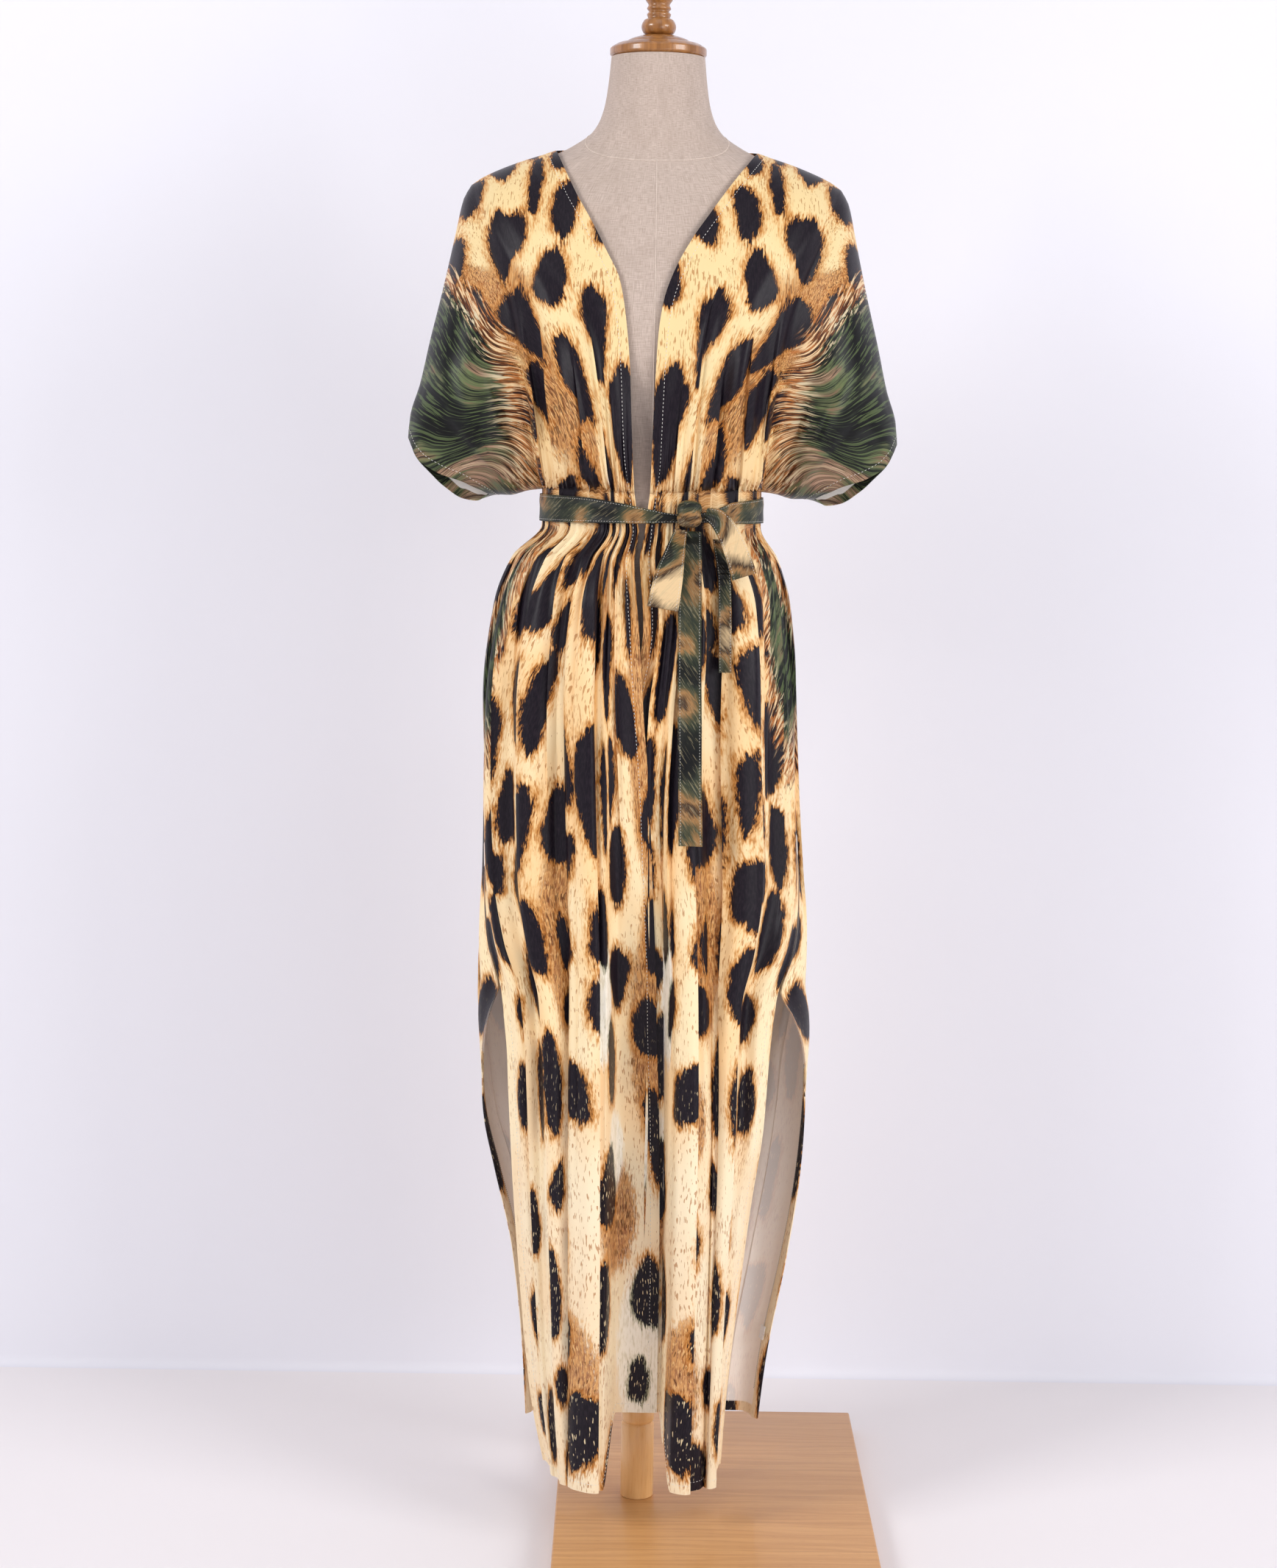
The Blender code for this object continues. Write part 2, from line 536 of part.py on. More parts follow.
def make_back():
    points, faces, flat, place = [], [], set(), {}

    def add(row, column, point, in_seam):
        place[(row, column)] = len(points)
        if in_seam:
            flat.add(len(points))
        points.append(point)

    last = BACK_COLUMNS + SLEEVE_COLUMNS
    for row in range(UPPER_ROWS + 1):
        fall = fall_of(row)
        for column in range(-last, last + 1):
            side = -1 if column < 0 else 1
            k = abs(column)
            u = k / BACK_COLUMNS if k <= BACK_COLUMNS else 1 + (k - BACK_COLUMNS) / SLEEVE_COLUMNS
            point = upper_point("back", side, u, fall)
            sewn_top = row == 0 and abs(point.x) > SHOULDER_SEAM[0].across - 0.001
            in_seam = sewn_top or (row == UPPER_ROWS and k >= BACK_COLUMNS)
            add(row, column, point, in_seam)
    for row in range(SKIRT_ROWS + 1):
        for column in range(-BACK_COLUMNS, BACK_COLUMNS + 1):
            part = column / BACK_COLUMNS
            height = skirt_height("back", part, row)
            point = skirt_point("back", part, height)
            sewn = abs(column) == BACK_COLUMNS and abs(column_angle("back", part, height)) > 89.9
            if sewn:
                point.y = SEAM / 2
            add(UPPER_ROWS + 1 + row, column, point, sewn)
    for row, column in place:
        corners = [(row, column), (row + 1, column), (row + 1, column + 1), (row, column + 1)]
        if all(corner in place for corner in corners):
            faces.append(tuple(place[corner] for corner in corners))
    return cloth_wall("back", points, faces, flat, CLOTH, "printed_satin", lambda p: Vector((0, 1, 0)))


def lofted(name, rings, finish, smooth_angle=40.0):
    """A closed body through rings of the same number of points, with flat end caps."""
    count = len(rings[0])
    points = [p for ring in rings for p in ring]
    faces = []
    for r in range(len(rings) - 1):
        for k in range(count):
            n = (k + 1) % count
            faces.append((r * count + k, r * count + n, (r + 1) * count + n, (r + 1) * count + k))
    faces.append(tuple(reversed(range(count))))
    faces.append(tuple(range(len(points) - count, len(points))))
    return solid(name, points, faces, finish, smooth_angle)


def make_torso():
    rings = []
    for row in TORSO:
        ring = []
        for k in range(TORSO_SEGMENTS):
            turn = 2 * math.pi * k / TORSO_SEGMENTS
            deep = -row.front if math.sin(turn) < 0 else row.back
            ring.append(Vector((row.half_width * math.cos(turn),
                                deep * abs(math.sin(turn)) ** row.pinch, row.height)))
        rings.append(ring)
    return lofted("form_torso", rings, "linen")


def make_turned(name, profile, finish, segments=24):
    rings = []
    for turn in profile:
        rings.append([Vector((turn.radius * math.cos(2 * math.pi * k / segments),
                              turn.radius * math.sin(2 * math.pi * k / segments), turn.height))
                      for k in range(segments)])
    return lofted(name, rings, finish)


def make_board():
    """Board with a small chamfer round its top."""
    chamfer = 0.003
    rings = []
    for inset, height in ((0.0, 0.0), (0.0, BOARD_TOP - chamfer), (chamfer, BOARD_TOP)):
        left, right = BOARD_LEFT + inset, BOARD_RIGHT - inset
        deep = BOARD_HALF_DEPTH - inset
        corners = ((left, -deep), (right, -deep), (right, deep), (left, deep))
        rings.append([Vector((x, y, height)) for x, y in corners])
    return lofted("base_board", rings, "varnished_wood", 20.0)


def waist_place(angle, gap, height):
    """Place on the pinched waist, moved out by a gap. Angles count from the front."""
    plan = row_at(SECTIONS, BELT_TOP)
    turn = math.radians(angle)
    deep = plan.front if math.cos(turn) > 0 else plan.back
    return Vector(((plan.half_width + gap) * math.sin(turn), -(deep + gap) * math.cos(turn), height))


def make_belt():
    rings = []
    for k in range(BELT_SEGMENTS):
        angle = -180.0 + 360.0 * k / BELT_SEGMENTS
        band = row_at(BELT, angle)
        inside, outside = CLEAR, CLEAR + BELT_WALL
        rings.append([waist_place(angle, inside, band.low), waist_place(angle, outside, band.low),
                      waist_place(angle, outside, band.top), waist_place(angle, inside, band.top)])
    points = [p for ring in rings for p in ring]
    faces = []
    for r in range(BELT_SEGMENTS):
        n = (r + 1) % BELT_SEGMENTS
        for k in range(4):
            m = (k + 1) % 4
            faces.append((r * 4 + k, n * 4 + k, n * 4 + m, r * 4 + m))
    return solid("belt_waist", points, faces, "belt_satin", 30.0)


def cloth_front(across, half_width, height):
    """How far forward the left front reaches across a strip, from the belt down to a height."""
    reach = 0.0
    lowest = height - 0.015
    steps = max(1, int((BELT_LOW - lowest) / 0.012))
    for k in range(steps + 1):
        level = BELT_LOW + (lowest - BELT_LOW) * k / steps
        for c in range(2 * BODY_COLUMNS):
            place = skirt_point("front_left", c / (2 * BODY_COLUMNS), level)
            if abs(place.x - across) < half_width + 0.004:
                reach = max(reach, -place.y)
    return reach


def make_tail(name, table):
    points, faces = [], []
    across_steps = 3
    for row in range(TAIL_ROWS + 1):
        at = along(table, row / TAIL_ROWS)
        reach = cloth_front(at.across, at.half_width, at.height) + TAIL_CLEAR + RIBBON
        for c in range(across_steps + 1):
            w = 2 * c / across_steps - 1
            points.append(Vector((at.across + at.half_width * w, -reach, at.height)))
    width = across_steps + 1
    for row in range(TAIL_ROWS):
        for c in range(across_steps):
            k = row * width + c
            faces.append((k, k + 1, k + width + 1, k + width))
    return cloth_wall(name, points, faces, [], RIBBON, "belt_satin", lambda p: Vector((0, -1, 0)))


def make_loop(name, table, stand_off):
    """A flattened loop of ribbon, open at both of its long edges. It leaves the knot and stands
    off the skirt, by a share of how far the skirt reaches forward under it."""
    points, faces = [], []
    across_steps = 3
    stations = [along(table, f / 4) for f in range(5)]
    base = max(cloth_front(at.across, at.half_width, at.height) for at in stations)
    for k in range(LOOP_POINTS):
        turn = 2 * math.pi * k / LOOP_POINTS
        f = (1 - math.cos(turn)) / 2
        at = along(table, f)
        ahead, behind = along(table, min(1.0, f + 0.02)), along(table, max(0.0, f - 0.02))
        heading = Vector((ahead.across - behind.across, ahead.height - behind.height)).normalized()
        near = cloth_front(at.across, at.half_width, at.height)
        far = near + (base - near) * stand_off + LOOP_LIFT
        reach = KNOT_REACH + (far - KNOT_REACH) * ease(f / 0.28) - at.opening * math.sin(turn)
        for c in range(across_steps + 1):
            w = at.half_width * (2 * c / across_steps - 1)
            points.append(Vector((at.across - heading.y * w, -reach, at.height + heading.x * w)))
    width = across_steps + 1
    for k in range(LOOP_POINTS):
        n = (k + 1) % LOOP_POINTS
        for c in range(across_steps):
            faces.append((k * width + c, k * width + c + 1, n * width + c + 1, n * width + c))
    middle = sum(points, Vector((0, 0, 0))) / len(points)
    return cloth_wall(name, points, faces, [], RIBBON, "belt_satin", lambda p: p - middle, True)


def make_knot():
    """A small rounded knot that lies on the front of the belt."""
    angle = math.degrees(math.asin(KNOT_CENTRE[0] / 0.1155))
    back = waist_place(angle, CLEAR + BELT_WALL, 0).y - 0.0016
    rings = []
    for r in range(9):
        lean = -math.pi / 2 + math.pi * (r + 0.5) / 9
        ring = []
        for k in range(16):
            turn = 2 * math.pi * k / 16
            x = math.copysign(abs(math.cos(turn)) ** 0.8, math.cos(turn)) * math.cos(lean) ** 0.7
            y = math.copysign(abs(math.sin(turn)) ** 0.8, math.sin(turn)) * math.cos(lean) ** 0.7
            ring.append(Vector((KNOT_CENTRE[0] + KNOT_HALF.x * x, back - KNOT_HALF.y * (1 - y),
                                KNOT_CENTRE[1] + KNOT_HALF.z * math.sin(lean))))
        rings.append(ring)
    return lofted("belt_knot", rings, "belt_satin")


def make_label():
    """Blank label inside the back, at the edge of the left slit."""
    points, faces = [], []
    for row in range(3):
        height = LABEL_HEIGHTS[0] + (LABEL_HEIGHTS[1] - LABEL_HEIGHTS[0]) * row / 2
        for c in range(3):
            part = LABEL_PART + LABEL_HALF_PART * (c - 1)
            point = skirt_point("back", part, height)
            turn = math.radians(column_angle("back", part, height))
            out = Vector((0.12 * math.sin(turn), 0.17 * math.cos(turn), 0)).normalized()
            points.append(point - out * (CLOTH + LABEL_GAP))
    for row in range(2):
        for c in range(2):
            k = row * 3 + c
            faces.append((k, k + 1, k + 4, k + 3))
    return cloth_wall("care_label", points, faces, [], LABEL_WALL, "label_satin", lambda p: p)


def main():
    for thing in list(bpy.data.objects):
        bpy.data.objects.remove(thing, do_unlink=True)
    make_front("front_right", -1)
    make_front("front_left", 1)
    make_back()
    make_belt()
    make_knot()
    make_loop("belt_loop_small", SMALL_LOOP, 0.2)
    make_loop("belt_loop_large", BIG_LOOP, 0.65)
    make_tail("belt_tail_long", LONG_TAIL)
    make_tail("belt_tail_short", SHORT_TAIL)
    make_label()
    make_torso()
    make_turned("neck_cap", CAP_PROFILE, "varnished_wood", 28)
    make_turned("finial", FINIAL_PROFILE, "varnished_wood", 20)
    make_turned("pole", POLE_PROFILE, "varnished_wood", 24)
    make_board()


main()
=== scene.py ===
# Kimono coat with a leopard print, worn by a limbless linen dress form on its wooden stand.
# Metres, +Z up, the front faces -Y and +X is the wearer's left.
import math
import bpy
import bmesh
import numpy as np
from mathutils import Matrix, Vector


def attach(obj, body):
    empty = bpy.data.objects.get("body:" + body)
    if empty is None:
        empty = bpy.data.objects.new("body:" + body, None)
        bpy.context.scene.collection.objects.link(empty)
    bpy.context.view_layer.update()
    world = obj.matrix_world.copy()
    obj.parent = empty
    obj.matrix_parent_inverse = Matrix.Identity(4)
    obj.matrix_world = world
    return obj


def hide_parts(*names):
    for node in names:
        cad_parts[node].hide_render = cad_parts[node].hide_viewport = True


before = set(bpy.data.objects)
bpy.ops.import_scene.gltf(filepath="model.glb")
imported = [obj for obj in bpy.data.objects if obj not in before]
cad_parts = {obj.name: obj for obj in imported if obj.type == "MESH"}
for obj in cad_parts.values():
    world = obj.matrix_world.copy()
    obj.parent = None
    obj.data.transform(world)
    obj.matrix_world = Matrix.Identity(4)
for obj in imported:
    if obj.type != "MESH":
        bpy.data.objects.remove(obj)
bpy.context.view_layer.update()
print("frame: loaded")


# curves and blends, all of them work on whole arrays

def curve(keys, values, at):
    # a smooth curve through a table that never swings past its values
    keys, values = np.asarray(keys, float), np.asarray(values, float)
    at = np.clip(np.asarray(at, float), keys[0], keys[-1])
    spans = np.diff(keys)
    steps = np.diff(values) / spans
    product = steps[:-1] * steps[1:]
    total = np.where(product > 0, steps[:-1] + steps[1:], 1.0)
    inner = np.where(product > 0, 2 * product / total, 0.0)
    slope = np.concatenate(([steps[0]], inner, [steps[-1]]))
    k = np.clip(np.searchsorted(keys, at, side="right") - 1, 0, len(spans) - 1)
    f = (at - keys[k]) / spans[k]
    return (values[k] * (2 * f ** 3 - 3 * f ** 2 + 1) + slope[k] * spans[k] * (f ** 3 - 2 * f ** 2 + f)
            + values[k + 1] * (3 * f ** 2 - 2 * f ** 3) + slope[k + 1] * spans[k] * (f ** 3 - f ** 2))


def along(points, fraction):
    # place on an outline at a fraction of its length
    points = np.asarray(points, float)
    lengths = np.concatenate(([0.0], np.cumsum(np.linalg.norm(np.diff(points[:, :2], axis=0), axis=1))))
    at = np.asarray(fraction, float) * lengths[-1]
    return [curve(lengths, points[:, c], at) for c in range(points.shape[1])]


def ease(f):
    f = np.clip(f, 0.0, 1.0)
    return f * f * (3 - 2 * f)


def bump(distance, halfWidth):
    f = np.abs(distance) / halfWidth
    return np.where(f < 1, np.cos(np.minimum(f, 1) * np.pi / 2) ** 2, 0.0)


def pinch(distance, halfWidth):
    # like bump, with a sharp bottom, as a pressed crease has
    f = np.clip(1 - np.abs(distance) / halfWidth, 0.0, 1.0)
    return f ** 1.6


def larger(a, b, blend=0.006):
    return (a + b + np.sqrt((a - b) ** 2 + blend ** 2)) / 2


# the coat's cut and how it hangs

coat = {
    "wall": 0.0009,
    "packedWall": 0.0018,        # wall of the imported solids
    "seamGap": 0.0003,
    "bodyColumns": 156,          # front edge to side seam
    "sleeveColumns": 34,
    "backColumns": 92,           # middle of the back to one side seam
    "upperRows": 66,
    "skirtRows": 150,
    "beltTop": 1.119,
    "beltLow": 1.084,
    "hemFront": 0.072,
    "hemBack": 0.086,
    "pleatAngle": 25.0,          # degrees from the middle to each front's first pleat
    "pleatPart": 0.5,
    "tuckDepth": 0.042,
    "recessDepth": 0.050,
    "recessLift": 0.070,
    "shoulderSpare": 0.0025,
    "neckDepth": 0.066,
    "neckRise": 0.010,
    "clear": 0.0008,
    "hemBand": 0.010,            # turned hem along every free edge
    "hemRaise": 0.0004,
    "hemSwing": 0.008,           # how much lower the back's hem hangs at the sides
    "hemSideLift": 0.010,        # rise of a front's hem at its slit
    "overlap": 0.0035,           # stand-off of each front from the plan where they lap
    "tuckFrom": 66.0,            # side seam's angle at which a front starts to tuck in
    "tuckSpan": 36.0,
    "upperUneven": 0.0009,
    "skirtUneven": 0.0010,
    "rowBias": 1.15,             # above 1 the skirt's rows lie closer together at the belt
    "sideFade": 0.035,           # share of the skirt beside each seam where folds die out
    "drawnIn": 0.24,             # height above the belt over which the cloth is drawn together
    "hipLine": 0.620,            # height at which the skirt's width is measured
}

# half outline seen from the front: distance from the middle, height
shoulderSeam = [(0.1045, 1.4700), (0.1450, 1.4570), (0.1800, 1.4420), (0.1920, 1.4340)]
sleeveTop = [(0.1920, 1.4340), (0.2000, 1.4200), (0.2070, 1.3900), (0.2140, 1.3580), (0.2240, 1.3150),
             (0.2340, 1.2750), (0.2445, 1.2290), (0.2550, 1.1940), (0.2565, 1.1730)]
underarm = [(0.1155, 1.1210), (0.1300, 1.1190), (0.1500, 1.1140), (0.1710, 1.1150)]
cuffFront = [(0.2565, 1.1730), (0.2440, 1.1500), (0.2220, 1.1360), (0.1990, 1.1280), (0.1830, 1.1200),
             (0.1710, 1.1150)]
cuffBack = [(0.2565, 1.1730), (0.2540, 1.1560), (0.2400, 1.1380), (0.2220, 1.1210), (0.2000, 1.1080),
            (0.1860, 1.1060), (0.1710, 1.1150)]
# front edges from the neck down to the belt, signed across
edgeRight = [(-0.1045, 1.4700), (-0.0810, 1.4210), (-0.0650, 1.3930), (-0.0490, 1.3620), (-0.0360, 1.3350),
             (-0.0290, 1.2970), (-0.0240, 1.2440), (-0.0210, 1.1730), (-0.0180, 1.1190)]
edgeLeft = [(0.1045, 1.4700), (0.0770, 1.4340), (0.0570, 1.4060), (0.0360, 1.3750), (0.0190, 1.3430),
            (0.0090, 1.3140), (0.0040, 1.2800), (0.0020, 1.2450), (0.0000, 1.1920), (-0.0020, 1.1190)]

# depth of the air in the upper coat: column 0 front edge, 1 side seam, 2 cuff
puffs = {"column": [0.0, 0.5, 1.0, 1.5, 2.0], "front": [0.030, 0.050, 0.084, 0.074, 0.040],
         "back": [0.020, 0.046, 0.084, 0.076, 0.044]}

# plan of the skirt
skirtPlan = {
    "height": [0.060, 0.250, 0.450, 0.600, 0.740, 0.830, 0.900, 1.000, 1.050, 1.084, 1.121],
    "halfWidth": [0.168, 0.172, 0.175, 0.171, 0.167, 0.1655, 0.164, 0.154, 0.140, 0.1155, 0.1155],
    "centre": [0.002, 0.002, 0.001, -0.001, -0.006, -0.009, -0.010, -0.008, -0.006, 0.0, 0.0],
    "front": [0.124, 0.126, 0.128, 0.129, 0.130, 0.130, 0.129, 0.121, 0.111, 0.094, 0.094],
    "back": [0.116, 0.120, 0.123, 0.125, 0.128, 0.130, 0.129, 0.117, 0.104, 0.088, 0.088],
}

# how far round that plan each edge lies, in degrees; the side seams swing forward to the slits' tops
slitTop = 0.600
edges = {
    "height": [0.060, 0.160, 0.280, 0.380, 0.450, 0.500, 0.530, 0.565, 0.600, 0.650, 0.720, 0.800, 0.900,
               0.980, 1.084, 1.119],
    "rightFront": [6.0, 6.0, 6.0, 5.8, 5.5, 5.0, 4.7, 4.5, 4.5, 4.3, 4.0, 3.6, 1.5, -1.0, -6.5, -8.97],
    "leftFront": [-9.0, -9.0, -8.5, -8.0, -7.5, -7.2, -7.1, -6.9, -6.5, -6.1, -5.6, -5.0, -3.0, 0.6, -3.2,
                  -0.993],
    "rightSide": [-36.0, -44.0, -49.0, -52.0, -53.5, -55.0, -56.0, -58.5, -62.0, -76.0, -88.0, -90.0,
                  -90.0, -90.0, -90.0, -90.0],
    "leftSide": [31.0, 33.0, 37.5, 42.0, 46.0, 48.0, 49.5, 52.0, 56.0, 72.0, 87.0, 90.0, 90.0, 90.0, 90.0,
                 90.0],
    "backRight": [-49.0, -51.0, -57.0, -70.0, -84.0, -92.0, -98.0, -108.0, -118.0, -104.0, -92.0, -90.0,
                  -90.0, -90.0, -90.0, -90.0],
    "backLeft": [51.0, 56.0, 68.0, 80.0, 88.0, 94.0, 101.0, 113.0, 124.0, 108.0, 93.0, 90.0, 90.0, 90.0,
                 90.0, 90.0],
}

# wide folds of the skirt: part across the piece, half width, depth outwards, height where full
skirtFolds = {
    "front_right": [(0.38, 0.10, 0.006, 0.80), (0.53, 0.08, -0.011, 0.85), (0.64, 0.09, 0.007, 0.90),
                    (0.76, 0.08, -0.011, 0.85), (0.87, 0.09, 0.006, 0.90)],
    "front_left": [(0.38, 0.10, 0.006, 0.80), (0.53, 0.08, -0.012, 0.85), (0.64, 0.09, 0.008, 0.90),
                   (0.77, 0.08, -0.010, 0.80), (0.88, 0.09, 0.005, 0.90)],
    "back": [(-0.86, 0.13, 0.007, 0.80), (-0.66, 0.13, -0.009, 0.90), (-0.45, 0.13, 0.010, 0.80),
             (-0.22, 0.13, -0.011, 0.85), (0.00, 0.13, 0.010, 0.80), (0.21, 0.13, -0.010, 0.90),
             (0.42, 0.13, 0.011, 0.82), (0.64, 0.13, -0.010, 0.85), (0.85, 0.13, 0.007, 0.80)],
}

# wide folds of the upper coat: column at the shoulder and at the belt, half width, depth outwards,
# share of the way down where it is deepest
upperFolds = {
    "front_right": [(0.50, 0.55, 0.13, -0.007, 0.78), (0.66, 0.66, 0.12, 0.006, 0.75),
                    (0.84, 0.77, 0.12, -0.008, 0.74), (1.04, 0.90, 0.14, 0.007, 0.70),
                    (1.30, 1.22, 0.20, -0.009, 0.62), (1.64, 1.58, 0.20, 0.008, 0.55)],
    "front_left": [(0.50, 0.53, 0.13, -0.008, 0.78), (0.66, 0.66, 0.12, 0.007, 0.74),
                   (0.82, 0.78, 0.12, -0.008, 0.76), (1.02, 0.90, 0.14, 0.007, 0.70),
                   (1.28, 1.20, 0.20, -0.007, 0.60), (1.60, 1.55, 0.20, 0.009, 0.58)],
    "back": [(0.26, 0.22, 0.18, -0.006, 0.75), (0.50, 0.44, 0.18, 0.006, 0.75),
             (0.78, 0.66, 0.18, -0.006, 0.74), (1.06, 0.88, 0.18, 0.005, 0.70),
             (1.34, 1.26, 0.22, -0.008, 0.60), (1.66, 1.60, 0.20, 0.007, 0.55)],
}

# pressed creases and soft troughs, shown and similar ones on the hidden sides:
# part across the skirt, half width, depth, height of the lower end
skirtCreases = {
    "front_right": [(0.105, 0.020, 0.0030, 0.92), (0.175, 0.026, 0.0036, 0.70),
                    (0.255, 0.018, 0.0026, 0.86), (0.330, 0.024, 0.0038, 0.55),
                    (0.455, 0.020, 0.0034, 0.34), (0.560, 0.022, 0.0040, 0.62),
                    (0.600, 0.016, 0.0024, 0.90), (0.690, 0.022, 0.0034, 0.48),
                    (0.745, 0.018, 0.0028, 0.83), (0.815, 0.024, 0.0040, 0.57),
                    (0.905, 0.020, 0.0026, 0.74)],
    "front_left": [(0.090, 0.020, 0.0028, 0.95), (0.160, 0.022, 0.0034, 0.76),
                   (0.235, 0.024, 0.0036, 0.60), (0.310, 0.018, 0.0024, 0.90),
                   (0.425, 0.022, 0.0038, 0.40), (0.505, 0.018, 0.0026, 0.88),
                   (0.575, 0.024, 0.0038, 0.52), (0.655, 0.020, 0.0030, 0.80),
                   (0.720, 0.022, 0.0036, 0.60), (0.800, 0.018, 0.0024, 0.86),
                   (0.865, 0.022, 0.0034, 0.66), (0.930, 0.018, 0.0022, 0.92)],
    "back": [(-0.93, 0.020, 0.0026, 0.88), (-0.78, 0.024, 0.0036, 0.60), (-0.57, 0.022, 0.0034, 0.50),
             (-0.40, 0.020, 0.0028, 0.82), (-0.31, 0.024, 0.0036, 0.44), (-0.13, 0.020, 0.0026, 0.78),
             (-0.05, 0.022, 0.0030, 0.56), (0.10, 0.022, 0.0034, 0.66), (0.28, 0.020, 0.0028, 0.86),
             (0.35, 0.024, 0.0036, 0.46), (0.52, 0.020, 0.0030, 0.80), (0.58, 0.022, 0.0034, 0.58),
             (0.74, 0.022, 0.0032, 0.70), (0.92, 0.020, 0.0028, 0.84)],
}

# knife pleats, with the cloth that each hides: part across, step, hidden width, height of the lower end,
# 1 where the part before lies on top and -1 where the part after does
skirtPleats = {
    "front_right": [(0.090, 0.0030, 0.008, 0.94, 1), (0.180, 0.0044, 0.016, 0.70, 1),
                    (0.255, 0.0034, 0.010, 0.88, -1), (0.335, 0.0066, 0.030, 0.00, -1),
                    (0.415, 0.0034, 0.008, 0.90, 1), (0.495, 0.0072, 0.034, 0.00, 1),
                    (0.575, 0.0040, 0.012, 0.76, 1), (0.660, 0.0052, 0.022, 0.42, 1),
                    (0.740, 0.0036, 0.010, 0.86, -1), (0.820, 0.0056, 0.026, 0.00, 1),
                    (0.905, 0.0036, 0.010, 0.80, -1)],
    "front_left": [(0.115, 0.0062, 0.026, 0.00, -1), (0.195, 0.0034, 0.010, 0.88, -1),
                   (0.275, 0.0048, 0.018, 0.58, 1), (0.385, 0.0072, 0.034, 0.00, 1),
                   (0.470, 0.0036, 0.010, 0.84, 1), (0.560, 0.0048, 0.018, 0.52, -1),
                   (0.650, 0.0062, 0.028, 0.00, 1), (0.735, 0.0034, 0.010, 0.90, 1),
                   (0.815, 0.0044, 0.016, 0.64, 1), (0.900, 0.0036, 0.010, 0.82, -1)],
    "back": [(-0.80, 0.0048, 0.020, 0.40, -1), (-0.68, 0.0034, 0.010, 0.84, 1),
             (-0.56, 0.0064, 0.028, 0.00, -1), (-0.34, 0.0044, 0.016, 0.70, 1),
             (-0.17, 0.0058, 0.024, 0.00, -1), (-0.04, 0.0034, 0.010, 0.86, 1),
             (0.12, 0.0052, 0.020, 0.30, 1), (0.30, 0.0044, 0.016, 0.68, -1),
             (0.47, 0.0064, 0.028, 0.00, 1), (0.68, 0.0048, 0.018, 0.44, 1),
             (0.78, 0.0034, 0.010, 0.82, -1), (0.86, 0.0044, 0.016, 0.60, 1)],
}

# pressed creases of the upper coat: column at the shoulder and at the belt, half width, depth,
# share of the way down where deepest, reach
upperCreases = {
    "front_right": [(0.30, 0.34, 0.040, 0.0026, 0.86, 0.30), (0.44, 0.44, 0.050, 0.0036, 0.82, 0.42),
                    (0.60, 0.52, 0.045, 0.0032, 0.84, 0.36), (0.78, 0.66, 0.050, 0.0038, 0.80, 0.44),
                    (0.93, 0.80, 0.050, 0.0036, 0.76, 0.38), (1.12, 1.02, 0.060, 0.0040, 0.70, 0.40),
                    (1.40, 1.20, 0.070, 0.0034, 0.58, 0.36), (1.52, 1.62, 0.060, 0.0028, 0.70, 0.28),
                    (1.78, 1.70, 0.060, 0.0030, 0.52, 0.40), (0.22, 0.60, 0.050, 0.0018, 0.30, 0.26)],
    "front_left": [(0.28, 0.30, 0.040, 0.0028, 0.88, 0.28), (0.40, 0.42, 0.045, 0.0034, 0.83, 0.40),
                   (0.58, 0.54, 0.050, 0.0034, 0.82, 0.38), (0.74, 0.68, 0.045, 0.0036, 0.80, 0.44),
                   (0.92, 0.82, 0.055, 0.0038, 0.75, 0.40), (1.14, 1.00, 0.060, 0.0038, 0.68, 0.42),
                   (1.38, 1.26, 0.060, 0.0030, 0.62, 0.34), (1.50, 1.44, 0.055, 0.0028, 0.48, 0.32),
                   (1.74, 1.72, 0.065, 0.0034, 0.56, 0.40), (0.26, 0.66, 0.050, 0.0018, 0.28, 0.24)],
    "back": [(0.06, 0.08, 0.060, 0.0024, 0.80, 0.36), (0.16, 0.18, 0.050, 0.0028, 0.84, 0.30),
             (0.36, 0.34, 0.055, 0.0030, 0.80, 0.40), (0.58, 0.56, 0.050, 0.0032, 0.82, 0.36),
             (0.74, 0.74, 0.055, 0.0030, 0.78, 0.40), (0.94, 0.84, 0.055, 0.0034, 0.74, 0.42),
             (1.16, 1.04, 0.065, 0.0036, 0.66, 0.40), (1.42, 1.30, 0.065, 0.0030, 0.56, 0.34),
             (1.80, 1.72, 0.060, 0.0030, 0.54, 0.38)],
}
# fine gathers that the belt draws in: their spacing, size and reach below and above the belt
gathers = {"pitch": 0.033, "uneven": 0.011, "halfWidth": 0.0165, "depth": (0.0012, 0.0034),
           "below": (0.030, 0.150), "above": (0.020, 0.120), "drift": (-0.10, 0.10),
           "seed": {"front_right": 11, "front_left": 23, "back": 37}}

